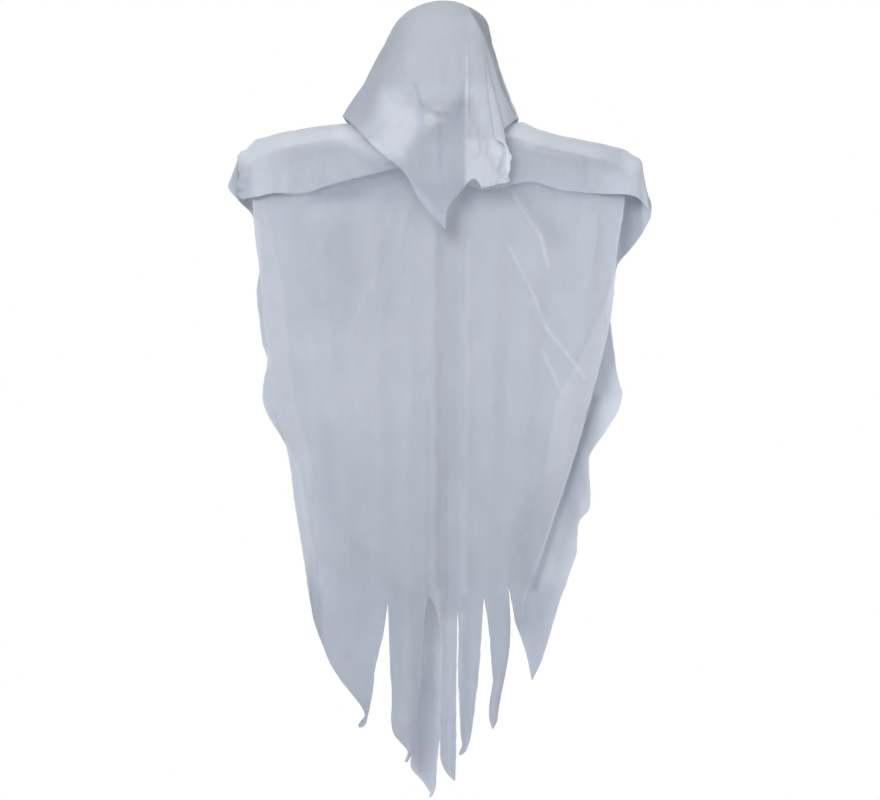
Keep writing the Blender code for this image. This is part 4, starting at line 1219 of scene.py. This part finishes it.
def margin_share(points, outline, margin, inwards):
    """1 where the front panel lies double over its turned-back margin, and 0 beside it."""
    x, z = points[:, 0], points[:, 2]
    heights = np.array([m[0] for m in margin]) + NECK_HEIGHT
    widths = np.array([m[1] for m in margin])
    width = np.interp(-z, -heights, widths, left=0.0, right=0.0)
    inside = inwards * (x - edge_at(outline, z))
    return smooth_step((width - inside) / 0.003) * smooth_step(width / 0.004)


def single_layer(points):
    """1 below the slits, where one layer of cloth hangs alone, and 0 above them."""
    return smooth_step((NECK_HEIGHT + SLIT_LEVEL + 0.060 - points[:, 2]) / 0.06)


def beside_back(points):
    """1 where no back sheet hangs behind the front panel's sides, and 0 where it does."""
    x, z = points[:, 0], points[:, 2]
    outside = np.maximum(edge_at(BACK_LEFT_EDGE, z) - x, x - edge_at(BACK_RIGHT_EDGE, z))
    return smooth_step((outside + 0.008) / 0.006)


def front_cover(points):
    """Density of the front panel: less near the arms, full where one layer hangs alone."""
    h = points[:, 2] - NECK_HEIGHT
    near_arms = smooth_step((h + 0.10) / 0.06)
    cover = FRONT_COVER - FRONT_LESS_AT_ARMS * near_arms
    backed = patched(points[:, 0], h, (STRIPS_BACKED,))
    closed = np.maximum(
        single_layer(points) * (1 - backed), beside_back(points) * smooth_step(-(h + 0.06) / 0.03)
    )
    return cover + (1.0 - cover) * closed


def front_tone_and_painted_shade(points):
    """Painted light and shade of the front panel: strokes and patches, lighter doubled margins and
    rims, darker beside no back sheet, lower down and where one layer hangs alone.
    """
    x, h = points[:, 0], points[:, 2] - NECK_HEIGHT
    wandering = x + 0.0011 * ripples(h, 0.0, 61, 0.090, 0.1)
    tone_and_painted_shade = FRONT_TONE + stroked(wandering, h, FRONT_PAINTED_SHADING_STROKES) + patched(x, h, FRONT_PAINTED_SHADING_PATCHES)
    tone_and_painted_shade = tone_and_painted_shade - FRONT_BESIDE_BACK_SHADE * beside_back(points)
    tone_and_painted_shade = tone_and_painted_shade + LEFT_MARGIN_PAINTED_LIGHT * margin_share(points, FRONT_LEFT_EDGE, LEFT_MARGIN, 1)
    doubled = margin_share(points, FRONT_RIGHT_EDGE, RIGHT_MARGIN, -1)
    faded = RIGHT_MARGIN_FADE * smooth_step((-0.36 - h) / 0.12)
    tone_and_painted_shade = tone_and_painted_shade + (RIGHT_MARGIN_PAINTED_LIGHT - faded) * doubled
    # Painted shade towards the bottom and on single layers, and painted light along the rims
    lower = smooth_step((-0.24 - h) / 0.30)
    z = points[:, 2]
    to_rim = np.minimum(x - edge_at(FRONT_LEFT_EDGE, z), edge_at(FRONT_RIGHT_EDGE, z) - x)
    rim = np.exp(-((to_rim / FRONT_RIM_WIDTH) ** 2))
    tone_and_painted_shade = tone_and_painted_shade + FRONT_RIM_PAINTED_LIGHT * rim * (h > SLIT_LEVEL)
    alone = single_layer(points) * (1 - STRIPS_BACKED_SHARE * patched(x, h, (STRIPS_BACKED,)))
    return tone_and_painted_shade - FRONT_LOWER_PAINTED_SHADE * lower - FRONT_ALONE_PAINTED_SHADE * alone


def back_cover(points):
    """Density of the back sheet: thinner in the flaps and over the arms, and full behind."""
    h = points[:, 2] - NECK_HEIGHT
    in_front = smooth_step((ARM_DEPTH - points[:, 1]) / 0.01 + 0.5)
    on_top = smooth_step((h - arm_height(points[:, 0]) + NECK_HEIGHT + 0.004) / 0.004)
    past_pad = smooth_step((np.abs(points[:, 0]) - PAD_END) / PAD_END_WIDTH)
    thin = np.maximum(in_front, on_top) * (1 - past_pad)
    thin = thin * (FLAP_LESS - ARM_TOP_LESS * on_top)
    gap = patched(points[:, 0], h, (BACK_THIN,)) * (points[:, 1] > ARM_DEPTH)
    # Along the flaps' strokes of painted light the cloth is also denser
    denser = FLAP_STROKES_MORE * stroked(points[:, 0], h, FLAP_PAINTED_LIGHT_STROKES) * in_front * thin
    return 1.0 - thin - BACK_GAP_LESS * gap + denser


def back_tone_and_painted_shade(points):
    """Painted light and shade of the back sheet: the flaps in front, lighter over the pads and darker
    past their ends, and the drop behind, with strokes and patches on both.
    """
    x, h = points[:, 0], points[:, 2] - NECK_HEIGHT
    in_front = points[:, 1] < ARM_DEPTH
    # Painted light where the white pads lie under the flaps
    over_pad = smooth_step((points[:, 2] - arm_height(x) + 0.007) / 0.006)
    flap = FLAP_TONE + FLAP_PAD_PAINTED_LIGHT * over_pad
    past_pad = smooth_step((np.abs(x) - PAD_END) / PAD_END_WIDTH)
    flap = flap - FLAP_END_PAINTED_SHADE * (1 + FLAP_END_OVER_PAD * over_pad) * past_pad
    flap = flap + stroked(x, h, FLAP_PAINTED_LIGHT_STROKES) + patched(x, h, FLAP_PAINTED_SHADING_PATCHES)
    behind = BACK_TONE + stroked(x, h, BACK_PAINTED_SHADING_STROKES) + patched(x, h, BACK_PAINTED_SHADING_PATCHES)
    return np.where(in_front, flap, behind)


def veil_cover(points):
    """Density of the veil: thin in front of the dark opening, and full behind the crown."""
    x, h = points[:, 0], points[:, 2] - NECK_HEIGHT
    thin = patched(x, h, (VEIL_THIN,)) * (points[:, 1] < 0.0)
    on_crown = smooth_step((h - 0.10) / 0.04)
    behind = smooth_step((points[:, 1] + 0.006) / (0.006 + 0.040 * on_crown))
    cover = VEIL_COVER - VEIL_THIN_LESS * thin + patched(x, h, VEIL_DENSE)
    return cover + (1.0 - cover) * behind


def veil_tone_and_painted_shade(points):
    """Painted light and shade of the veil: its strokes and patches, and painted shade right of its
    ridge.
    """
    x, h = points[:, 0], points[:, 2] - NECK_HEIGHT
    tone_and_painted_shade = VEIL_TONE + stroked(x, h, VEIL_PAINTED_SHADING_STROKES) + patched(x, h, VEIL_PAINTED_SHADING_PATCHES)
    ridge = np.interp(-h, [-r[1] for r in VEIL_RIDGE], [r[0] for r in VEIL_RIDGE])
    in_front = points[:, 1] < 0.0
    past_ridge = smooth_step((x - ridge) / VEIL_RIDGE_WIDTH + 0.5)
    return tone_and_painted_shade - VEIL_RIDGE_PAINTED_SHADE * past_ridge * in_front


def socket(group, name, kind, way, value=None):
    """Adds a named input or output to a shader group."""
    made = group.interface.new_socket(name=name, in_out=way, socket_type=kind)
    if value is not None:
        made.default_value = value
    return made


def add_node(tree, kind, **inputs):
    """Adds a shader node. Its inputs are set by name, with underscores for spaces."""
    node = tree.nodes.new("ShaderNode" + kind)
    set_inputs(node, inputs)
    return node


def set_inputs(node, inputs):
    """Sets a node's named inputs, whose names have underscores for spaces."""
    for name, value in inputs.items():
        node.inputs[name.replace("_", " ")].default_value = value


def math_node(tree, operation, a, b=None, clamp=False):
    """Adds a math node whose inputs are sockets or plain numbers, and returns its output."""
    node = add_node(tree, "Math")
    node.operation = operation
    node.use_clamp = clamp
    for slot_input, value in zip(node.inputs, (a, b)):
        if value is None:
            continue
        if isinstance(value, (int, float)):
            slot_input.default_value = value
        else:
            tree.links.new(value, slot_input)
    return node.outputs[0]


def noise_node(tree, places, **inputs):
    """Adds cloudy noise at the given places, and returns its share from 0 to 1."""
    texture = add_node(tree, "TexNoise", **inputs)
    tree.links.new(places, texture.inputs["Vector"])
    return texture.outputs["Fac"]


def blend_node(tree, share, first, second, target):
    """Mixes two colours by a share, and leads the mix to the target."""
    blend = add_node(tree, "Mix")
    blend.data_type = "RGBA"
    set_inputs(blend, {"A": (*first, 1), "B": (*second, 1)})
    tree.links.new(share, blend.inputs["Factor"])
    tree.links.new(blend.outputs["Result"], target)


def bump_node(tree, height, shader, strength, distance):
    """Makes a height felt in the shading of the surface."""
    bump = add_node(tree, "Bump", Strength=strength, Distance=distance)
    tree.links.new(height, bump.inputs["Height"])
    tree.links.new(bump.outputs[0], shader.inputs["Normal"])


def new_material(name, **inputs):
    """A material with its node tree, and its Principled shader with the named inputs set."""
    material = bpy.data.materials.new(name)
    material.use_nodes = True
    shader = material.node_tree.nodes["Principled BSDF"]
    set_inputs(shader, inputs)
    return material, material.node_tree, shader


def weave_group():
    """The shared look of thin gauze, in cloth coordinates in metres.

    It gives the height of the crossing threads, which is the higher of two sines, the share of
    open holes between them, and the streaks of denser and thinner threads that run both ways.
    """
    tree = bpy.data.node_groups.new("gauze_weave", "ShaderNodeTree")
    socket(tree, "Cloth", "NodeSocketVector", "INPUT")
    socket(tree, "Pitch", "NodeSocketFloat", "INPUT", THREAD_PITCH)
    socket(tree, "Streak Size", "NodeSocketFloat", "INPUT", STREAK_SIZE)
    for output in ("Thread Height", "Openness", "Streaks"):
        socket(tree, output, "NodeSocketFloat", "OUTPUT")
    links = tree.links
    given = tree.nodes.new("NodeGroupInput")
    result = tree.nodes.new("NodeGroupOutput")
    apart = add_node(tree, "SeparateXYZ")
    links.new(given.outputs["Cloth"], apart.inputs[0])
    stretch = add_node(tree, "VectorMath")
    stretch.operation = "MULTIPLY"
    stretch.inputs[1].default_value = (WANDER_SCALE, WANDER_SCALE, 1.0)
    links.new(given.outputs["Cloth"], stretch.inputs[0])
    wander = noise_node(tree, stretch.outputs[0], Scale=1.0, Detail=2.0, Roughness=0.5)
    waves = []
    for axis in (0, 1):
        turns = math_node(tree, "DIVIDE", apart.outputs[axis], given.outputs["Pitch"])
        wandering = math_node(tree, "MULTIPLY", wander, WANDER_TURNS)
        shifted = math_node(tree, "ADD", turns, wandering)
        angle = math_node(tree, "MULTIPLY", shifted, 2 * math.pi)
        waves.append(math_node(tree, "SINE", angle))
    highest = math_node(tree, "MAXIMUM", *waves)
    halved = math_node(tree, "MULTIPLY", highest, 0.5)
    height = math_node(tree, "ADD", halved, 0.5, clamp=True)
    links.new(height, result.inputs["Thread Height"])
    low = math_node(tree, "SUBTRACT", 1.0, height)
    deep = math_node(tree, "MULTIPLY", low, HOLE_WIDENING, clamp=True)
    links.new(deep, result.inputs["Openness"])
    runs = [
        math_node(tree, "DIVIDE", apart.outputs[axis], given.outputs["Streak Size"])
        for axis in (0, 1)
    ]
    streaks = []
    for long_axis in (0, 1):
        places = add_node(tree, "CombineXYZ")
        for axis in (0, 1):
            along = runs[axis]
            if axis == long_axis:
                along = math_node(tree, "MULTIPLY", along, STREAK_SLIMNESS)
            links.new(along, places.inputs[axis])
        streaks.append(
            noise_node(tree, places.outputs[0], Scale=1.0, Detail=3.0, Roughness=0.6)
        )
    both = math_node(tree, "ADD", *streaks)
    links.new(math_node(tree, "SUBTRACT", both, 1.0), result.inputs["Streaks"])
    return tree


def cloth_material(name, weave):
    """Thin woven gauze: its lightness and density come from the sheet, its threads from the weave.

    Colour is the sheet's lightness, which holds painted light and shade, plus small parts of clouds,
    streaks and threads.
    Opacity is the cover less the holes and plus the streaks, both by the share that the cover leaves
    open.
    """
    material, tree, shader = new_material(
        name, Roughness=0.85, Sheen_Weight=0.15, Sheen_Roughness=0.5, Specular_IOR_Level=0.2,
        Subsurface_Weight=1.0, Subsurface_Radius=(1.0, 1.0, 1.0), Subsurface_Scale=LIGHT_SPREAD,
    )
    links = tree.links
    places = add_node(tree, "UVMap")
    places.uv_map = "cloth"
    threads = add_node(tree, "Group")
    threads.node_tree = weave
    links.new(places.outputs[0], threads.inputs["Cloth"])
    cover = add_node(tree, "Attribute")
    tone_and_painted_shade = add_node(tree, "Attribute")
    cover.attribute_name = "cover"
    tone_and_painted_shade.attribute_name = "tone_and_painted_shade"
    cloud = noise_node(tree, places.outputs[0], Scale=26.0, Detail=3.0)
    cloud = math_node(tree, "SUBTRACT", cloud, 0.5)
    cloud = math_node(tree, "MULTIPLY", cloud, CLOUD_SHARE)
    streak = math_node(tree, "MULTIPLY", threads.outputs["Streaks"], STREAK_SHARE)
    thread = math_node(tree, "SUBTRACT", threads.outputs["Thread Height"], THREAD_MIDDLE)
    thread = math_node(tree, "MULTIPLY", thread, THREAD_SHARE)
    mixed = math_node(tree, "ADD", tone_and_painted_shade.outputs["Fac"], cloud)
    mixed = math_node(tree, "ADD", mixed, streak)
    mixed = math_node(tree, "ADD", mixed, thread, clamp=True)
    # Mixes the gauze in painted shade and in painted light
    blend_node(tree, mixed, GAUZE_IN_PAINTED_SHADE, GAUZE_IN_PAINTED_LIGHT, shader.inputs["Base Color"])
    holes = math_node(tree, "MULTIPLY", threads.outputs["Openness"], HOLE_SHARE)
    left = math_node(tree, "SUBTRACT", 1.0, cover.outputs["Fac"])
    open_share = math_node(tree, "MULTIPLY", holes, left)
    denser = math_node(tree, "MULTIPLY", streak, left)
    alpha = math_node(tree, "SUBTRACT", cover.outputs["Fac"], open_share)
    alpha = math_node(tree, "ADD", alpha, denser, clamp=True)
    links.new(alpha, shader.inputs["Alpha"])
    bump_node(tree, threads.outputs["Thread Height"], shader, 0.20, 0.0003)
    return material


def fibre_material(name, colour, hollow_shade_and_fibre_colour, scale, depth, roughness):
    """Soft matt stuff, such as wadding or foam: fine cells or fibres, with painted shade in the hollows
    between cells and darker fibres at random.
    """
    material, tree, shader = new_material(name, Roughness=roughness)
    places = add_node(tree, "TexCoord").outputs["Object"]
    cells = add_node(tree, "TexVoronoi", Scale=scale)
    tree.links.new(places, cells.inputs["Vector"])
    fuzz = noise_node(tree, places, Scale=scale * FUZZ_FINENESS, Detail=5.0)
    # Painted shade in the hollows between the cells
    hollow_shade = math_node(tree, "MULTIPLY", cells.outputs["Distance"], CELL_SHARE)
    cloudy = math_node(tree, "MULTIPLY", fuzz, FUZZ_SHARE)
    mixed = math_node(tree, "ADD", hollow_shade, cloudy, clamp=True)
    blend_node(tree, mixed, colour, hollow_shade_and_fibre_colour, shader.inputs["Base Color"])
    bump_node(tree, mixed, shader, 0.5, depth)
    return material


def wire_material(name):
    """Drawn steel wire with fine scratches along it."""
    material, tree, shader = new_material(name, Metallic=1.0, Base_Color=(0.52, 0.53, 0.55, 1))
    places = add_node(tree, "TexCoord").outputs["Object"]
    scratch = noise_node(tree, places, Scale=900.0, Detail=4.0)
    rough = math_node(tree, "MULTIPLY", scratch, SCRATCH_SHARE)
    rough = math_node(tree, "ADD", rough, SMOOTHEST_STEEL)
    tree.links.new(rough, shader.inputs["Roughness"])
    return material


def grid_faces(rows, columns, closed_rows=False):
    """Quads of a grid of rows by columns whose columns join round, and its rows too if closed."""
    index = np.arange(rows * columns).reshape(rows, columns)
    index = np.hstack([index, index[:, :1]])
    if closed_rows:
        index = np.vstack([index, index[:1]])
    quads = np.stack([index[:-1, :-1], index[1:, :-1], index[1:, 1:], index[:-1, 1:]], axis=-1)
    return quads.reshape(-1, 4)


def arm_pad(name, start, end, seed, material):
    """A wadding sleeve on the arm wire: flat at the neck, round at its outer end, lumpy.

    Its profile runs out along the skin to the round end and back along the bore, and each
    point of it turns on a circle about the arm wire.
    """
    length = abs(end - start)
    direction = 1 if end > start else -1
    stations = np.linspace(0.0, length, PAD_STATIONS)
    round_end = np.linspace(0, math.pi / 2, 14)[1:-1]
    skin_s = np.concatenate([
        [0.0, 0.0, 0.0012, 0.004], stations[2:], length + PAD_RADIUS * np.sin(round_end),
    ])
    skin_r = np.concatenate([
        [0.30 * PAD_RADIUS, 0.72 * PAD_RADIUS, 0.88 * PAD_RADIUS, PAD_RADIUS],
        np.full(PAD_STATIONS - 2, PAD_RADIUS), PAD_RADIUS * np.cos(round_end),
    ])
    bore_s = np.concatenate([[length + 0.005], stations[::-3], [0.0]])
    s = np.concatenate([skin_s, [length + PAD_RADIUS], bore_s])
    r = np.concatenate([skin_r, [PAD_POINT], np.full(len(bore_s), PAD_BORE)])
    r[len(skin_s) + 1] = PAD_POINT
    inside = np.minimum(s, length)
    lengths = start + direction * inside
    x = np.interp(lengths, ARM_LENGTHS, ARM_SAMPLES[:, 0])
    z = np.interp(lengths, ARM_LENGTHS, ARM_SAMPLES[:, 1])
    along = [
        np.interp(lengths, ARM_LENGTHS, np.gradient(ARM_SAMPLES[:, axis], ARM_LENGTHS))
        for axis in (0, 1)
    ]
    tangent = direction * np.stack(along, axis=-1)
    tangent /= np.linalg.norm(tangent, axis=1)[:, None]
    centre = np.stack([x, z], axis=-1) + tangent * (s - inside)[:, None]
    normal = np.stack([-tangent[:, 1], tangent[:, 0]], axis=-1)
    angle = 2 * math.pi * np.arange(PAD_SIDES) / PAD_SIDES
    lumps = ripples(s[:, None] + 0 * angle, PAD_RADIUS * np.sin(angle)[None], seed, 0.03, 0.9)
    fuzz = ripples(s[:, None] + 0 * angle, PAD_RADIUS * np.cos(angle)[None], seed + 1, 0.009, 0.9)
    outside = (r > 0.5 * PAD_RADIUS)[:, None]
    reach = r[:, None] - outside * (PAD_SKIN_DEPTH + PAD_LUMPS * (lumps + fuzz))
    px = centre[:, :1] + reach * np.cos(angle) * normal[:, :1]
    pz = centre[:, 1:] + reach * np.cos(angle) * normal[:, 1:]
    py = ARM_DEPTH + reach * np.sin(angle)
    points = np.stack([px, py, pz], axis=-1).reshape(-1, 3)
    return mesh_object(name, points, (grid_faces(len(s), PAD_SIDES, True),), material)


def foam_head(material):
    """The egg of the head, turned about the stem, with its bore and the pocket for the eye.

    Its outline is a half circle of the turn whose width is drawn out towards the crown by one
    plus the taper times the cosine of the turn.
    """
    turn = np.linspace(0, math.pi, 600)
    reach = HEAD_WIDTH / 2 * np.sin(turn) * (1 + HEAD_TAPER * np.cos(turn))
    reach *= HEAD_WIDTH / 2 / reach.max()
    height = HEAD_TOP - HEAD_HEIGHT / 2 * (1 - np.cos(turn))
    widest = int(np.argmax(reach))
    first = int(np.argmax(reach > FOAM_POCKET))
    last = widest + int(np.argmax(reach[widest:] < FOAM_BORE + FOAM_NECK_FLAT))
    picks = np.linspace(first, last, FOAM_RINGS).astype(int)
    floor = HEAD_TOP - FOAM_POCKET_DEPTH
    high, low = height[picks][0], height[picks][-1]
    r = np.concatenate([reach[picks], [FOAM_BORE] * 3, [FOAM_POCKET] * 2])
    z = np.concatenate([height[picks], [low, (low + floor) / 2, floor, floor, high]])
    angle = 2 * math.pi * np.arange(FOAM_SIDES) / FOAM_SIDES
    outer = (np.arange(len(r)) < len(picks))[:, None]
    dents = ripples(angle[None] * 0.04, z[:, None], FOAM_SEED, 0.02, 0.8)
    radius = r[:, None] - outer * FOAM_DENTS * (1.0 + dents)
    points = np.stack([
        radius * np.sin(angle), radius * np.cos(angle), z[:, None] + 0 * angle,
    ], axis=-1).reshape(-1, 3)
    return mesh_object("foam_head", points, (grid_faces(len(r), FOAM_SIDES, True),), material)


def studio_floor(material):
    """A plain pale floor below the strips, worn very slightly uneven."""
    steps = np.linspace(-1, 1, FLOOR_STEPS)
    u, v = np.meshgrid(steps, steps, indexing="ij")
    x = FLOOR_HALF_SIZE * u
    y = FLOOR_HALF_SIZE * v
    z = FLOOR_HEIGHT + FLOOR_WAVES * ripples(x, y, 7, 0.4, 1.5)
    index = np.arange(u.size).reshape(u.shape)
    quads = np.stack([index[:-1, :-1], index[1:, :-1], index[1:, 1:], index[:-1, 1:]], axis=-1)
    points = np.stack([x, y, z], axis=-1).reshape(-1, 3)
    return mesh_object("studio_floor", points, (quads.reshape(-1, 4),), material)


def neck_tie(material):
    """The tie: a strip of cloth wound round the stem, with its flattened knot at the left.

    The band is a ring of round section whose thickness varies by a cosine of both turns, and
    the knot is a flattened ball with wound grooves, which are a cosine of its height's turn.
    """
    height = HEAD_TOP - HEAD_HEIGHT - TIE_HEAD_GAP - KNOT_HALF_SIZE[2]
    around = 2 * math.pi * np.arange(TIE_RING_STEPS) / TIE_RING_STEPS
    across = 2 * math.pi * np.arange(TIE_TUBE_STEPS) / TIE_TUBE_STEPS
    u, v = np.meshgrid(around, across, indexing="ij")
    plump = TIE_TUBE * (0.93 + 0.06 * np.cos(3 * v + 5 * u))
    band = np.stack([
        (TIE_RING + plump * np.cos(v)) * np.cos(u),
        (TIE_RING + plump * np.cos(v)) * np.sin(u),
        height + plump * np.sin(v),
    ], axis=-1)
    turn = np.linspace(0.02, math.pi - 0.02, KNOT_RINGS)
    u, v = np.meshgrid(turn, around, indexing="ij")
    wound = 0.95 + 0.045 * np.cos(9 * u + 2 * np.cos(v)) + 0.01 * np.cos(5 * v)
    knot = np.stack([
        KNOT_PLACE[0] + KNOT_HALF_SIZE[0] * wound * np.sin(u) * np.cos(v),
        KNOT_PLACE[1] + KNOT_HALF_SIZE[1] * wound * np.sin(u) * np.sin(v),
        height + KNOT_HALF_SIZE[2] * wound * np.cos(u),
    ], axis=-1)
    band_faces = grid_faces(TIE_RING_STEPS, TIE_TUBE_STEPS, True)
    knot_faces = grid_faces(KNOT_RINGS, TIE_RING_STEPS) + band.shape[0] * band.shape[1]
    points = np.vstack([band.reshape(-1, 3), knot.reshape(-1, 3)])
    return mesh_object("neck_tie_cloth", points, (band_faces, knot_faces), material)


WEAVE = weave_group()
ROBE = cloth_material("robe_gauze", WEAVE)
VEIL = cloth_material("veil_gauze", WEAVE)
WADDING = fibre_material("wadding", (0.90, 0.92, 0.93), (0.70, 0.73, 0.76), 420.0, 0.0006, 0.95)
FOAM = fibre_material("white_foam", (0.88, 0.89, 0.90), (0.74, 0.76, 0.78), 700.0, 0.0003, 0.75)
TIE = fibre_material("tie_cloth", (0.86, 0.88, 0.80), (0.66, 0.68, 0.60), 1500.0, 0.0002, 0.9)

FRONT_PANEL = robe_front(ROBE)
BACK_SHEET = robe_back(ROBE)
HEAD_VEIL = veil(VEIL)
NECK_SIDES = [
    float(np.interp(x, ARM_SAMPLES[:, 0], ARM_LENGTHS))
    for x in (-PAD_NECK_DISTANCE, PAD_NECK_DISTANCE)
]
PAD_LEFT = arm_pad("arm_pad_left_wadding", NECK_SIDES[0], 0.0, PAD_SEEDS[0], WADDING)
PAD_RIGHT = arm_pad(
    "arm_pad_right_wadding", NECK_SIDES[1], ARM_LENGTHS[-1], PAD_SEEDS[1], WADDING
)
HEAD = foam_head(FOAM)
TIE_PIECE = neck_tie(TIE)
for piece, node, slot_name in (
    (FRONT_PANEL, "robe_front", "robe_cloth"),
    (BACK_SHEET, "robe_back", "robe_cloth"),
    (HEAD_VEIL, "head_veil", "veil_cloth"),
    (PAD_LEFT, "arm_pad_left", "padding"),
    (PAD_RIGHT, "arm_pad_right", "padding"),
    (HEAD, "head_form", "foam"),
    (TIE_PIECE, "neck_tie", "tie"),
):
    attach(piece, "root")
    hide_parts(node)
PALE = fibre_material("pale_floor", (0.90, 0.90, 0.90), (0.86, 0.86, 0.87), 60.0, 0.0002, 0.8)
FLOOR = studio_floor(PALE)
STEEL = wire_material("drawn_steel")
for name in ("stem_wire", "arm_wire"):
    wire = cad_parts[name]
    wire.data.materials.clear()
    wire.data.materials.append(STEEL)


def camera_and_light():
    """The photograph's camera, a white background for the camera, and soft light all round."""
    scene = bpy.context.scene
    lens = bpy.data.cameras.new("photo_camera")
    lens.lens = LENS
    lens.sensor_width = SENSOR
    camera = bpy.data.objects.new("photo_camera", lens)
    distance = PHOTO_WIDTH * PHOTO_SCALE * LENS / SENSOR
    camera.location = (0.0, CAMERA_PLANE - distance, -(PHOTO_CENTRE[1] - PHOTO_TOP) * PHOTO_SCALE)
    camera.rotation_euler = (math.radians(90), 0, 0)
    scene.collection.objects.link(camera)
    scene.camera = camera
    scene.view_settings.view_transform = "Standard"

    world = bpy.data.worlds.new("studio")
    scene.world = world
    world.use_nodes = True
    tree = world.node_tree
    links = tree.links
    tree.nodes.clear()
    output = add_node(tree, "OutputWorld")
    mix = add_node(tree, "MixShader")
    seen = add_node(tree, "Background", Color=(1, 1, 1, 1), Strength=1.0)
    light = add_node(tree, "Background", Color=(1, 1, 1, 1), Strength=WORLD_STRENGTH)
    path = add_node(tree, "LightPath")
    share = math_node(
        tree, "MAXIMUM", path.outputs["Is Camera Ray"], path.outputs["Is Glossy Ray"]
    )
    share = math_node(tree, "MAXIMUM", share, path.outputs["Is Transmission Ray"])
    links.new(share, mix.inputs["Fac"])
    links.new(light.outputs[0], mix.inputs[1])
    links.new(seen.outputs[0], mix.inputs[2])
    links.new(mix.outputs[0], output.inputs["Surface"])

    def lamp(name, place, size, power):
        """A round area lamp that looks at the middle of the ghost."""
        data = bpy.data.lights.new(name, "AREA")
        data.shape = "DISK"
        data.size = size
        data.energy = power
        made = bpy.data.objects.new(name, data)
        made.location = place
        toward = np.array(LAMP_TARGET) - np.array(place)
        toward /= np.linalg.norm(toward)
        yaw = math.atan2(toward[1], toward[0])
        pitch = math.acos(-toward[2])
        made.rotation_euler = (pitch, 0, yaw - math.pi / 2)
        scene.collection.objects.link(made)

    for settings in LAMPS:
        lamp(*settings)


camera_and_light()
